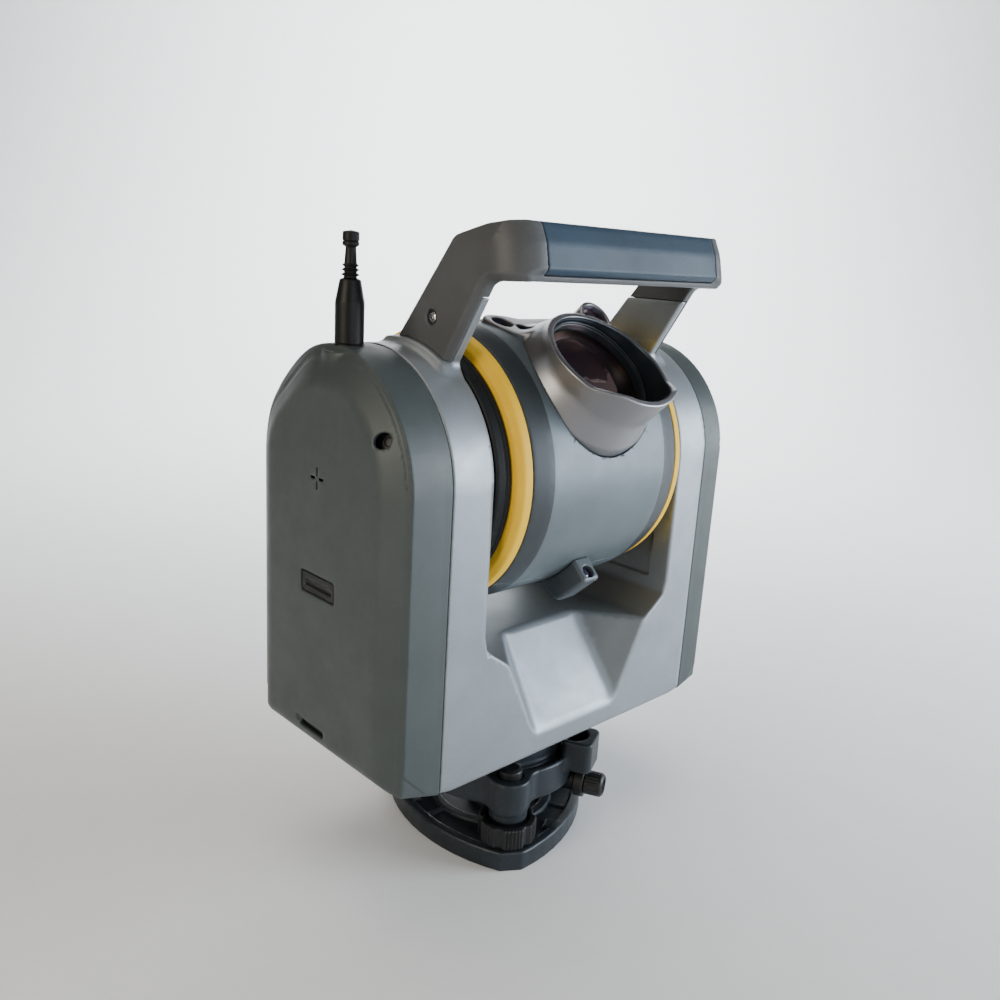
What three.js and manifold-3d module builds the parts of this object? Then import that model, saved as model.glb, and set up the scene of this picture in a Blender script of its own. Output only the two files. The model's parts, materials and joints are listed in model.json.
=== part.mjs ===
// Surveying total station: a motorised measuring instrument on a three-screw tribrach.
// Millimetres. X is the trunnion axis (to the right), -Y the front, +Z up.
// The origin is under the middle of the whole, on the underside of the base plate; the vertical
// axis stands AXIS_Y behind it.
import * as THREE from 'three';
import { mergeVertices } from 'three/addons/utils/BufferGeometryUtils.js';
import { ConvexGeometry } from 'three/addons/geometries/ConvexGeometry.js';
import Module from 'manifold-3d';

const wasm = await Module();
wasm.setup();

// ---- driving dimensions ----
const AXIS_Y = 14.6; // the vertical axis; everything below is measured from it
const TRUNNION_Z = 270; // height of the trunnion axis
const TILT = 42; // elevation of the telescope at rest, degrees
const GAP = 0.3; // clearance between pieces that touch

const HALF_DEPTH = 76; // alidade, front to axis; also the radius of its arched top
const FRAME_HALF = 117; // silver frame, seam with the side covers
const FRAME_BOTTOM = 88;
const FRAME_WALL = 5;
const WELL_HALF = 87; // inner faces of the two uprights
const WELL_FLOOR = 159.5; // floor under the drum
const NOTCH_BOTTOM = 103.5; // lip of the sloping notch in the front and rear faces
const LEDGE_Y = 36; // where the slope meets the floor, from the axis

const COVER_HALF = 155.1; // outer faces of the side covers
const COVER_BEVEL_X = 146; // the bevel starts here
const COVER_FACE_HALF = 59; // half depth of the flat outer face
const COVER_WALL = 3;
const COVER_RISE = 103; // bottom of the outer face

const DRUM_R = 89.3;
const DRUM_FLAT_HALF = 51.5;
const DRUM_END_HALF = 67;
const DRUM_END_R = 86.7;
const DRUM_WALL = 3;
const RING_OUT = 76.2; // outer side of the yellow rings
const RING_EDGE_R = 79.5; // where their rounded face meets the outer side
const RING_BORE = 66;
const BOOT_OUT = 86.3; // outer side of the black end boots
const HOOD_R = 42.5;
const HOOD_BORE_R = 38.5;
const HOOD_SKIRT_R = 48;
const HOOD_TOP_F = 98; // reach of the rim at the top
const HOOD_CHIN_F = 121; // reach of the rim at the chin
const POD_HALF = 7.5;

const SPINDLE_R = 11.6; // vertical axis
const SPINDLE_BORE = 4;
const SHAFT_R = 14; // trunnion axis
const BEARING_R = 22;

const ARM_IN = 88;
const ARM_OUT = 97.8;
const ARM_SEAM = 93; // between the silver post and the dark arm
const HANDLE_SEAM = 76.5; // ends of the front cover strip
const BAR_FRONT = -97.2; // front of the handle bar
const BAR_CORNER_R = 23; // its front corners in plan
const SADDLE_R = 79.5;

const SCREW_RADIUS = 61; // foot screws, from the vertical axis
const SCREW_ANGLES = [-123, -3, 117];
const PLATE_TOP = 14;
const KNOB_R = 20;
const SIDE_ANGLE = -63; // the side with the optical plummet and the circular level
const PLUMMET_Z = 37;
const LEVEL_RADIUS = 60;
const LEVER_ANGLE = 57;
const LEVER_RADIUS = 60;

// facets of a full circle
const FINE = 36;
const MEDIUM = 20;
const COARSE = 12;

// ---- colours ----
const SILVER = { color: 0xa9b2b8, roughness: 0.42, metalness: 0.35 };
const COVER_GREY = { color: 0x5d6765, roughness: 0.55, metalness: 0.1 };
const HANDLE_GREY = { color: 0x56585a, roughness: 0.5, metalness: 0.1 };
const HANDLE_BLUE = { color: 0x51626f, roughness: 0.4, metalness: 0.25 };
const DRUM_GREY = { color: 0x7b8a90, roughness: 0.45, metalness: 0.2 };
const YELLOW = { color: 0xd7a83a, roughness: 0.45, metalness: 0 };
const SATIN = { color: 0xb4b4b8, roughness: 0.3, metalness: 0.8 };
const BLACK = { color: 0x15171a, roughness: 0.6, metalness: 0 };
const RUBBER = { color: 0x101112, roughness: 0.8, metalness: 0 };
const CAST = { color: 0x30363c, roughness: 0.55, metalness: 0.3 };
const STEEL = { color: 0xb9bcc0, roughness: 0.3, metalness: 1 };
const BRASS = { color: 0xb08d4a, roughness: 0.35, metalness: 1 };
const GLASS = { color: 0x3a2a3c, roughness: 0.05, metalness: 0 };
const BOARD = { color: 0x1f5a3c, roughness: 0.6, metalness: 0 };

// ---- solids ----
function solid(geometry) {
  const bare = geometry.clone();
  bare.deleteAttribute('normal');
  bare.deleteAttribute('uv');
  const merged = mergeVertices(bare, 1e-3);
  const index = Array.from(merged.index.array);
  const triangles = [];
  for (let i = 0; i < index.length; i += 3) {
    const [a, b, c] = index.slice(i, i + 3);
    if (a !== b && b !== c && c !== a) triangles.push(a, b, c);
  }
  const position = merged.attributes.position.array;
  if (signedVolume(position, triangles) < 0) triangles.reverse();
  const mesh = new wasm.Mesh({
    numProp: 3,
    vertProperties: new Float32Array(position),
    triVerts: new Uint32Array(triangles),
  });
  return new wasm.Manifold(mesh);
}

function signedVolume(position, triangles) {
  const corner = (k) => new THREE.Vector3().fromArray(position, 3 * triangles[k]);
  let sum = 0;
  for (let i = 0; i < triangles.length; i += 3) {
    sum += corner(i).dot(corner(i + 1).cross(corner(i + 2)));
  }
  return sum;
}

function geometryOf(body) {
  const mesh = body.getMesh();
  const geometry = new THREE.BufferGeometry();
  const count = mesh.vertProperties.length / mesh.numProp;
  const position = new Float32Array(count * 3);
  for (let i = 0; i < count; i += 1) {
    for (let k = 0; k < 3; k += 1) position[3 * i + k] = mesh.vertProperties[i * mesh.numProp + k];
  }
  geometry.setAttribute('position', new THREE.BufferAttribute(position, 3));
  geometry.setIndex(new THREE.BufferAttribute(new Uint32Array(mesh.triVerts), 1));
  return geometry;
}

function joined(bodies) {
  return bodies.reduce((whole, next) => whole.add(next));
}

function cut(body, ...tools) {
  return tools.reduce((rest, tool) => rest.subtract(tool), body);
}

// ---- shapes ----
function polygon(points) {
  return new THREE.Shape(points.map(([a, b]) => new THREE.Vector2(a, b)));
}

function mirrored(points) {
  return points.concat(points.slice().reverse().map(([a, b]) => [-a, b]));
}

function extruded(shape, depth, curveSegments = 24) {
  return new THREE.ExtrudeGeometry(shape, { depth, bevelEnabled: false, curveSegments });
}

// An outline in (y, z) swept along X from x0 to x1.
function alongX(shape, x0, x1, curveSegments) {
  const basis = new THREE.Matrix4().set(0, 0, 1, x0, 1, 0, 0, 0, 0, 1, 0, 0, 0, 0, 0, 1);
  return solid(extruded(shape, x1 - x0, curveSegments).applyMatrix4(basis));
}

// An outline in (x, z) swept along Y from y0 to y1.
function alongY(shape, y0, y1, curveSegments) {
  const basis = new THREE.Matrix4().set(1, 0, 0, 0, 0, 0, -1, y1, 0, 1, 0, 0, 0, 0, 0, 1);
  return solid(extruded(shape, y1 - y0, curveSegments).applyMatrix4(basis));
}

// An outline in (x, y) swept along Z from z0 to z1.
function alongZ(shape, z0, z1, curveSegments) {
  return solid(extruded(shape, z1 - z0, curveSegments).translate(0, 0, z0));
}

function box(x0, x1, y0, y1, z0, z1) {
  const geometry = new THREE.BoxGeometry(x1 - x0, y1 - y0, z1 - z0);
  return solid(geometry.translate((x0 + x1) / 2, (y0 + y1) / 2, (z0 + z1) / 2));
}

// A profile of (radius, height) turned about the Z axis.
function turned(profile, segments = MEDIUM) {
  const points = profile.map(([r, h]) => new THREE.Vector2(r, h));
  return solid(new THREE.LatheGeometry(points, segments).rotateX(Math.PI / 2));
}

function rod(r, h0, h1, segments = COARSE) {
  return turned([[0, h0], [r, h0], [r, h1], [0, h1]], segments);
}

function ring(rIn, rOut, h0, h1, segments = MEDIUM) {
  return turned([[rIn, h0], [rOut, h0], [rOut, h1], [rIn, h1], [rIn, h0]], segments);
}

const toX = (body) => body.rotate([0, 90, 0]); // +Z goes to +X
const toFront = (body) => body.rotate([90, 0, 0]); // +Z goes to -Y
const at = (body, x, y, z) => body.translate([x, y, z]);
const mirrorX = (body) => body.mirror([1, 0, 0]);
const mirrorY = (body) => body.mirror([0, 1, 0]);

function polar(radius, degrees) {
  const angle = THREE.MathUtils.degToRad(degrees);
  return [radius * Math.cos(angle), radius * Math.sin(angle)];
}

// ---- named pieces ----
const whole = new THREE.Group();
const instrument = new THREE.Group();
instrument.position.y = AXIS_Y;
whole.add(instrument);
const telescope = new THREE.Group();
telescope.position.set(0, 0, TRUNNION_Z);
telescope.rotation.x = THREE.MathUtils.degToRad(-TILT);
instrument.add(telescope);

function piece(name, finish, body, parent = instrument) {
  const mesh = new THREE.Mesh(geometryOf(body), new THREE.MeshStandardMaterial(finish));
  mesh.name = name;
  parent.add(mesh);
}

// ---- tribrach ----
// Three truncated corners at the screws, joined by sides that bow out to sideR.
function plateOutline(cornerR, flatHalf, sideR) {
  const points = [];
  const flatTurn = THREE.MathUtils.radToDeg(Math.atan2(flatHalf, cornerR));
  const reach = Math.hypot(cornerR, flatHalf);
  const [cornerX, cornerY] = polar(reach, 60 - flatTurn);
  const centre = (reach * reach - sideR * sideR) / (2 * (cornerX - sideR));
  const sweep = THREE.MathUtils.radToDeg(Math.atan2(cornerY, cornerX - centre));
  const steps = 6;
  for (const angle of SCREW_ANGLES) {
    for (let k = 0; k <= steps; k += 1) {
      const [x, y] = polar(sideR - centre, -sweep + (2 * sweep * k) / steps);
      const turn = THREE.MathUtils.radToDeg(Math.atan2(y, x + centre));
      points.push(polar(Math.hypot(x + centre, y), angle + 60 + turn));
    }
  }
  return polygon(points);
}

function basePlate() {
  const plate = alongZ(plateOutline(80.5, 7.5, 64.5), 0, PLATE_TOP);
  const pockets = SCREW_ANGLES.map((angle) => at(rod(7, 5, 20), ...polar(SCREW_RADIUS, angle), 0));
  return cut(plate, rod(16, -1, 20, MEDIUM), ring(17, 38, 8, 20), ...pockets);
}

function threadBush() {
  const bore = 8; // for the tripod screw
  return turned([[bore, 0], [15.7, 0], [15.7, 5], [13, 5], [13, 10], [bore, 10], [bore, 0]], COARSE);
}

function springPlate() {
  const shape = new THREE.Shape();
  shape.absarc(0, 0, 36, 0, 2 * Math.PI, false);
  return cut(alongZ(shape, 8.3, 9.8, 12), rod(22, 5, 12));
}

function tribrachBody() {
  const web = alongZ(plateOutline(58, 14, 50), 46, 60);
  const hub = turned([[0, 27], [30, 27], [30, 44], [46, 46], [50, 50], [50, 66], [47, 72], [0, 72]], FINE);
  const bosses = SCREW_ANGLES.map((angle) => at(rod(12.7, 30.6, 58), ...polar(SCREW_RADIUS, angle), 0));
  const bores = SCREW_ANGLES.map((angle) => at(rod(5.6, 30, 62), ...polar(SCREW_RADIUS, angle), 0));
  const recesses = SCREW_ANGLES.map((angle) => at(rod(8.5, 58, 62), ...polar(SCREW_RADIUS, angle), 0));
  const levelPad = at(rod(12, 50, 58), ...polar(LEVEL_RADIUS, SIDE_ANGLE), 0);
  const leverPad = at(rod(10.5, 50, 62), ...polar(LEVER_RADIUS, LEVER_ANGLE), 0);
  const seat = rod(36, 58, 75, FINE);
  const throughHole = rod(24, 20, 60, MEDIUM);
  const barrelBore = sideways(rod(8.3, 20, 90, COARSE), SIDE_ANGLE, PLUMMET_Z);
  const leverBore = at(rod(4.3, 43, 90, COARSE), ...polar(LEVER_RADIUS, LEVER_ANGLE), 0);
  const cast = joined([web, hub, levelPad, leverPad, ...bosses]);
  return cut(cast, ...bores, ...recesses, seat, throughHole, barrelBore, leverBore);
}

// A body turned about Z, laid down to point outwards at an angle, at a height.
function sideways(body, degrees, height) {
  return body.rotate([0, 90, 0]).rotate([0, 0, degrees]).translate([0, 0, height]);
}

function footScrew(index) {
  const teeth = 16;
  const outline = [];
  for (let k = 0; k < teeth; k += 1) {
    outline.push(polar(KNOB_R, (360 * k) / teeth));
    outline.push(polar(KNOB_R - 1.2, (360 * (k + 0.5)) / teeth));
  }
  const knob = alongZ(polygon(outline), 15.5, 30);
  const spindle = turned([[0, 6], [3, 6.6], [5, 10], [5, 61], [0, 61]], COARSE);
  return at(knob.add(spindle), ...polar(SCREW_RADIUS, SCREW_ANGLES[index]), 0);
}

function footCap(index) {
  const cap = turned([[0, 62], [5.2, 62], [5.2, 58.4], [8, 58.4], [8, 65], [6.5, 67], [0, 67]], MEDIUM);
  return at(cap, ...polar(SCREW_RADIUS, SCREW_ANGLES[index]), 0);
}

function levelHousing() {
  const cup = turned([[0, 58.3], [10, 58.3], [10, 66], [7.5, 66], [7.5, 60], [0, 60]], MEDIUM);
  return at(cup, ...polar(LEVEL_RADIUS, SIDE_ANGLE), 0);
}

function levelVial() {
  const vial = turned([[0, 60.3], [7.2, 60.3], [7.2, 66], [5, 67], [0, 67.4]], MEDIUM);
  return at(vial, ...polar(LEVEL_RADIUS, SIDE_ANGLE), 0);
}

function plummetHousing() {
  const profile = [[0, 26], [8, 26], [8, 64], [11, 64], [11, 71], [5, 71], [5, 40], [0, 40]];
  return sideways(turned(profile, MEDIUM), SIDE_ANGLE, PLUMMET_Z);
}

function plummetEyepiece() {
  const profile = [[0, 66], [4.6, 66], [4.6, 71.4], [8.5, 71.4], [8.5, 83], [6.5, 85], [5, 82], [0, 82]];
  return sideways(turned(profile, MEDIUM), SIDE_ANGLE, PLUMMET_Z);
}

function lockLever() {
  const pivot = rod(4, 46, 63);
  const knob = rod(8, 62.4, 69);
  const pointer = alongZ(polygon([[0, -6], [18, -2.5], [18, 2.5], [0, 6]]), 62.4, 68);
  const lever = joined([pivot, knob, pointer]).rotate([0, 0, LEVER_ANGLE - 90]);
  return at(lever, ...polar(LEVER_RADIUS, LEVER_ANGLE), 0);
}

// ---- instrument base and vertical axis ----
function instrumentBase() {
  const profile = [[11.9, 58.6], [35.6, 58.6], [35.6, 73.4], [52, 73.4], [55, 76], [55, 82]];
  profile.push([52, 85], [11.9, 85], [11.9, 58.6]);
  return turned(profile, FINE);
}

function verticalSpindle() {
  const profile = [[SPINDLE_BORE, 60], [SPINDLE_R, 60], [SPINDLE_R, 85.4], [20, 85.4], [20, 88]];
  profile.push([SPINDLE_R, 88], [SPINDLE_R, 148], [SPINDLE_BORE, 148], [SPINDLE_BORE, 60]);
  return turned(profile, COARSE);
}

// ---- alidade frame ----
function archOutline(half, bottom, centre = TRUNNION_Z) {
  const shape = new THREE.Shape();
  shape.moveTo(-half, bottom);
  shape.lineTo(half, bottom);
  shape.lineTo(half, centre);
  shape.absarc(0, centre, half, 0, Math.PI, false);
  return shape;
}

function notch() {
  const face = [[33, NOTCH_BOTTOM], [41, 107.5], [45.5, 115], [66.5, WELL_FLOOR], [68, WELL_FLOOR + 2]];
  const corners = [];
  for (const side of [-1, 1]) {
    for (const [x, z] of face) corners.push(new THREE.Vector3(side * x, -HALF_DEPTH, z));
    corners.push(new THREE.Vector3(side * 35, -LEDGE_Y, WELL_FLOOR));
    corners.push(new THREE.Vector3(side * 35, -LEDGE_Y + 1.4, WELL_FLOOR + 2));
    corners.push(new THREE.Vector3(side * 68, -LEDGE_Y - 24, WELL_FLOOR + 2));
  }
  return solid(new ConvexGeometry(corners));
}

function well() {
  const ramp = [[66.5, WELL_FLOOR], [78, 167.5], [85, 173], [WELL_HALF, 182]];
  const half = [[0, WELL_FLOOR], ...ramp, [WELL_HALF, 420]];
  return alongY(polygon(mirrored(half)), -HALF_DEPTH - 5, HALF_DEPTH + 5);
}

function armOutline(z0, z1, grow = 0) {
  const front = (z) => -48.7 - 0.6 * (z - 80) - grow;
  const rear = (z) => 3.3 - 0.8 * (z - 80) + grow;
  return polygon([
    [front(z0), TRUNNION_Z + z0],
    [rear(z0), TRUNNION_Z + z0],
    [rear(z1), TRUNNION_Z + z1],
    [front(z1), TRUNNION_Z + z1],
  ]);
}

const POCKET_BOTTOM = 98;

// The casting is open behind the covers, and under the floor of the well.
function uprightPocket() {
  const inside = HALF_DEPTH - FRAME_WALL;
  const room = alongX(archOutline(inside, POCKET_BOTTOM), WELL_HALF + FRAME_WALL, FRAME_HALF + 1);
  const boss = at(toX(rod(BEARING_R + 6, 80, 101, FINE)), 0, 0, TRUNNION_Z);
  const top = WELL_FLOOR - FRAME_WALL;
  const underFloor = box(30, 95, -29, 29, POCKET_BOTTOM, top);
  const underRamp = box(72, 95, -inside, inside, POCKET_BOTTOM, top);
  return joined([room.subtract(boss), underFloor, underRamp]);
}

function alidadeFrame() {
  const under = [[0, FRAME_BOTTOM], [60, FRAME_BOTTOM], [100, 89.2], [FRAME_HALF, 91.5], [FRAME_HALF, 400]];
  const silhouette = alongY(polygon(mirrored(under)), -HALF_DEPTH - 1, HALF_DEPTH + 1);
  const block = alongX(archOutline(HALF_DEPTH, 80), -FRAME_HALF, FRAME_HALF, 24).intersect(silhouette);
  const saddleZone = box(WELL_HALF, 101, -50, 17, TRUNNION_Z + 40, TRUNNION_Z + 90);
  const saddle = at(toX(rod(SADDLE_R, 80, 110, FINE)), 0, 0, TRUNNION_Z).intersect(saddleZone);
  const post = alongX(armOutline(60, 113), WELL_HALF, ARM_SEAM);
  const topping = saddle.add(post);
  const raised = joined([block, topping, mirrorX(topping)]);
  const acrossFrame = toX(rod(BEARING_R, -FRAME_HALF - 2, FRAME_HALF + 2, MEDIUM));
  const bearingBore = at(acrossFrame, 0, 0, TRUNNION_Z);
  const hub = joined([rod(44, 80, 100, MEDIUM), rod(24, 99, 150, MEDIUM)]);
  const pocket = uprightPocket();
  return cut(raised, well(), notch(), mirrorY(notch()), bearingBore, hub, pocket, mirrorX(pocket));
}

function baseCover() {
  return turned([[21, 88.4], [43.6, 88.4], [43.6, 90.4], [21, 90.4], [21, 88.4]], MEDIUM);
}

// ---- side covers ----
function coverRing(half, bottom, x, steps = 20) {
  const points = [];
  points.push([x, -half, bottom], [x, half, bottom]);
  for (let k = 0; k <= steps; k += 1) {
    const angle = (Math.PI * k) / steps;
    points.push([x, half * Math.cos(angle), TRUNNION_Z + half * Math.sin(angle)]);
  }
  return points;
}

function lofted(rings) {
  const count = rings[0].length;
  const position = rings.flat(2);
  const index = [];
  for (let r = 0; r + 1 < rings.length; r += 1) {
    for (let k = 0; k < count; k += 1) {
      const a = r * count + k;
      const b = r * count + ((k + 1) % count);
      index.push(a, b, b + count, a, b + count, a + count);
    }
  }
  const last = (rings.length - 1) * count;
  for (let k = 1; k + 1 < count; k += 1) index.push(0, k + 1, k, last, last + k, last + k + 1);
  const geometry = new THREE.BufferGeometry();
  geometry.setAttribute('position', new THREE.BufferAttribute(new Float32Array(position), 3));
  geometry.setIndex(index);
  return solid(geometry);
}

function coverBlock(inset) {
  const seam = FRAME_HALF + GAP;
  const face = COVER_HALF - inset;
  const big = HALF_DEPTH - inset;
  return lofted([
    coverRing(big, 91.8 + inset, inset ? seam - 1 : seam),
    coverRing(big, 100 + inset, COVER_BEVEL_X - inset / 2),
    coverRing(COVER_FACE_HALF - inset / 2, COVER_RISE + inset, face),
  ]);
}

function coverShell() {
  return coverBlock(0).subtract(coverBlock(COVER_WALL));
}

const BUTTON = { y: -0.9, z: TRUNNION_Z - 64.9, halfY: 17.5, halfZ: 6.3 };
const SLOT = { y: 3.1, z: TRUNNION_Z - 157.1, halfY: 12.9, halfZ: 1.6 };
const PORT = { x: -150.6, phi: 30.5, r: 4.8 };
const ANTENNA = { x: -135, y: -1, z: TRUNNION_Z + 72.3 };

function sideBox(side, spot, grow, x0, x1) {
  const y0 = spot.y - spot.halfY - grow;
  const z0 = spot.z - spot.halfZ - grow;
  const [a, b] = side < 0 ? [-x1, -x0] : [x0, x1];
  return box(a, b, y0, spot.y + spot.halfY + grow, z0, spot.z + spot.halfZ + grow);
}

function portRod(r, h0, h1) {
  const radius = 67;
  const bevel = Math.atan2(COVER_BEVEL_X - COVER_HALF, HALF_DEPTH - COVER_FACE_HALF);
  const lean = THREE.MathUtils.radToDeg(bevel);
  const tipped = rod(r, h0, h1, COARSE).rotate([0, -90, 0]).rotate([0, 0, -lean]);
  const spot = tipped.translate([PORT.x, -radius, 0]).rotate([-PORT.phi, 0, 0]);
  return spot.translate([0, 0, TRUNNION_Z]);
}

function leftCover() {
  const bossTop = ANTENNA.z - 0.3;
  const boss = at(rod(13, bossTop - 8, bossTop), ANTENNA.x, ANTENNA.y, 0);
  const flat = at(rod(12, bossTop, bossTop + 20), ANTENNA.x, ANTENNA.y, 0);
  const bore = at(rod(4.8, bossTop - 20, bossTop + 1, COARSE), ANTENNA.x, ANTENNA.y, 0);
  const window = sideBox(-1, BUTTON, 0.3, 148, 160);
  const slot = sideBox(-1, SLOT, 0, 148, 160);
  return cut(mirrorX(coverShell()).add(boss), flat, bore, window, slot, portRod(PORT.r, -8, 8));
}

function powerButton() {
  return sideBox(-1, BUTTON, 0, 151, 154.1);
}

function slotInsert() {
  return sideBox(-1, { ...SLOT, halfY: 15, halfZ: 4 }, 0, 149, 151.8);
}

function portPlug() {
  return portRod(PORT.r - GAP, -2.6, -1.2);
}

const DOOR = { y: 0, z: 186, halfY: 38, halfZ: 56 };
const LATCH = { y: 0, z: 230, halfY: 11, halfZ: 4, travel: 4 };
const BATTERY = { y: 0, z: 186, halfY: 34, halfZ: 52 };

function rightCover() {
  return cut(coverShell(), sideBox(1, DOOR, 0.4, 148, 160));
}

function batteryDoor() {
  const slab = sideBox(1, DOOR, 0, 152.1, COVER_HALF);
  const guide = sideBox(1, LATCH, 0.4, 153.4, 156);
  return cut(slab, guide, at(guide, 0, 0, -LATCH.travel));
}

function batteryLatch() {
  return sideBox(1, LATCH, 0, 153.6, COVER_HALF);
}

function batteryPack() {
  return sideBox(1, BATTERY, 0, 119, 150);
}

// ---- vertical and trunnion axis parts in the alidade ----
function bearingZ(h0, h1) {
  return ring(12.4, 23.4, h0, h1);
}

function trunnionBearing(side) {
  const body = at(toX(ring(SHAFT_R + 0.5, BEARING_R - 0.7, 89, 100)), 0, 0, TRUNNION_Z);
  return side < 0 ? mirrorX(body) : body;
}

function tiltMotor() {
  return at(toX(ring(SHAFT_R + 1, 40, -114, -102, MEDIUM)), 0, 0, TRUNNION_Z);
}

// ---- handle, antenna ----
function barOutline() {
  const z = (h) => TRUNNION_Z + h;
  return polygon([
    [-92, z(118.5)], [-80, z(115.5)], [-62, z(120)], [-50, z(128)], [-46.5, z(138)],
    [-49.5, z(144.5)], [-56, z(147.8)], [-88.9, z(147.8)], [-94, z(137)], [-96.8, z(122.4)],
  ]);
}

function armSideOutline() {
  const z = (h) => TRUNNION_Z + h;
  const leg = [[-70, z(115.5)], [-36.7, z(60)], [19.3, z(60)], [-43.1, z(138)]];
  const top = [[-49.5, z(144.5)], [-56, z(147.8)], [-88.9, z(147.8)]];
  return polygon([...leg, ...top, [-94, z(137)], [-96.8, z(122.4)], [-92, z(118.5)], [-80, z(115.5)]]);
}

function handleSolid() {
  const arm = alongX(armSideOutline(), ARM_IN, ARM_OUT);
  const bar = alongX(barOutline(), -ARM_OUT, ARM_OUT);
  const centreX = ARM_OUT - BAR_CORNER_R;
  const centreY = BAR_FRONT + BAR_CORNER_R;
  const plan = new THREE.Shape();
  plan.moveTo(ARM_OUT, 40);
  plan.lineTo(-ARM_OUT, 40);
  plan.lineTo(-ARM_OUT, centreY);
  plan.absarc(-centreX, centreY, BAR_CORNER_R, Math.PI, 1.5 * Math.PI, false);
  plan.lineTo(centreX, BAR_FRONT);
  plan.absarc(centreX, centreY, BAR_CORNER_R, 1.5 * Math.PI, 2 * Math.PI, false);
  const rounded = alongZ(plan, 300, 460, 8);
  return joined([arm, mirrorX(arm), bar]).intersect(rounded);
}

function coverStrip(grow) {
  const z = (h) => TRUNNION_Z + h;
  const inner = [[-92.4, z(123)], [-90, z(136.5)], [-84.8, z(148)], [-84.8, z(152)]];
  const seam = inner.map(([y, height]) => [y + grow, height]);
  const strip = [[-89, z(112)], [-89, z(119.5)], ...seam, [-110, z(152)], [-110, z(112)]];
  return alongX(polygon(strip), -HANDLE_SEAM - grow, HANDLE_SEAM + grow);
}

const HANDLE_SCREW = { y: -27, z: TRUNNION_Z + 92.8, r: 3.2 };

function handleScrewRod(r, x0, x1) {
  return at(toX(rod(r, x0, x1, COARSE)), 0, HANDLE_SCREW.y, HANDLE_SCREW.z);
}

function handle() {
  const saddleSpace = at(toX(rod(SADDLE_R + GAP, -110, 110, FINE)), 0, 0, TRUNNION_Z);
  const postSpace = alongX(armOutline(50, 113 + GAP, 2), 80, ARM_SEAM + GAP);
  const screwHole = handleScrewRod(HANDLE_SCREW.r + GAP, -110, 110);
  return cut(handleSolid(), saddleSpace, postSpace, mirrorX(postSpace), screwHole, coverStrip(GAP));
}

function handleFrontCover() {
  return handleSolid().intersect(coverStrip(0));
}

function handleScrew(side) {
  const body = handleScrewRod(HANDLE_SCREW.r, ARM_SEAM + GAP, ARM_OUT - 0.4);
  return side < 0 ? mirrorX(body) : body;
}

function antenna() {
  const profile = [[0, 0], [8.2, 0], [8.2, 26.4], [5.6, 39.3], [4, 40.2], [5.2, 41.5], [4, 42.8]];
  profile.push([4.9, 44.2], [4.2, 45.4], [2.9, 56], [4.6, 57], [4.6, 64.4], [4, 65], [0, 65]);
  return at(turned(profile, COARSE), ANTENNA.x, ANTENNA.y, ANTENNA.z);
}

function antennaConnector() {
  return at(rod(4.5, -14, -0.3, COARSE), ANTENNA.x, ANTENNA.y, ANTENNA.z);
}

// ---- telescope, in its own frame: pointing along -Y, trunnion centre at the origin ----
function drumShell() {
  const outer = [[0, -DRUM_END_HALF], [DRUM_END_R, -DRUM_END_HALF], [DRUM_R, -DRUM_FLAT_HALF]];
  outer.push([DRUM_R, DRUM_FLAT_HALF], [DRUM_END_R, DRUM_END_HALF], [0, DRUM_END_HALF]);
  const room = rod(DRUM_R - DRUM_WALL - 1.5, -DRUM_END_HALF + DRUM_WALL, DRUM_END_HALF - DRUM_WALL, FINE);
  const shaftHole = rod(SHAFT_R + 0.5, -80, 80);
  return toX(cut(turned(outer, FINE), room, shaftHole));
}

function hoodHole() {
  return toFront(rod(HOOD_R + 0.5, 40, 140, FINE));
}

const CAMERAS = [
  { name: 'camera_lens_large', x: -33, z: 54.1, r: 6.5, f: 68 },
  { name: 'camera_lens_small', x: -23.3, z: 45.9, r: 4.4, f: 73 },
];
const TUBE = { x: 38, z: 47.5, r: 12.8, bore: 9.8, f: 87 };
const FIN = { tilt: 30, reach: 90.6 }; // flat plate beside the hood that holds the cameras

function frontBore(spot, r, f0, f1, segments = COARSE) {
  return toFront(rod(r, f0, f1, segments)).translate([spot.x, 0, spot.z]);
}

function frontShell() {
  const half = box(-100, 100, -100, -0.15, -100, 100);
  const holes = CAMERAS.map((camera) => frontBore(camera, camera.r + 1.3, 40, 120));
  const tubeHole = frontBore(TUBE, TUBE.r + 0.5, 40, 120);
  return cut(drumShell().intersect(half), hoodHole(), ...holes, tubeHole);
}

function rearShell() {
  return drumShell().intersect(box(-100, 100, 0.15, 100, -100, 100));
}

function yellowRing(side) {
  const x0 = DRUM_END_HALF + GAP;
  const rise = DRUM_END_R - RING_EDGE_R;
  const arc = [];
  const steps = 4;
  for (let k = 0; k <= steps; k += 1) {
    const turn = (Math.PI / 2) * (k / steps);
    arc.push([RING_EDGE_R + rise * Math.cos(turn), x0 + (RING_OUT - x0) * Math.sin(turn)]);
  }
  const profile = [[RING_BORE, x0], ...arc, [RING_BORE, RING_OUT], [RING_BORE, x0]];
  const body = toX(turned(profile, FINE));
  return side < 0 ? mirrorX(body) : body;
}

function boot(side) {
  const x0 = DRUM_END_HALF + GAP;
  const x1 = RING_OUT + GAP;
  const neck = RING_BORE - GAP;
  const bore = SHAFT_R + 0.4;
  const rim = [[neck, x1], [79, x1], [77, BOOT_OUT]];
  const profile = [[bore, x0], [neck, x0], ...rim, [bore, BOOT_OUT], [bore, x0]];
  const body = toX(turned(profile, FINE));
  return side < 0 ? mirrorX(body) : body;
}

function trunnionShaft(side) {
  const profile = [[4, 53], [26, 53], [26, 58], [SHAFT_R, 58], [SHAFT_R, 112], [4, 112], [4, 53]];
  const body = toX(turned(profile, COARSE));
  return side < 0 ? mirrorX(body) : body;
}

function tiltEncoderDisc() {
  return toX(ring(SHAFT_R + 0.4, 36, 103, 105));
}

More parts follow.
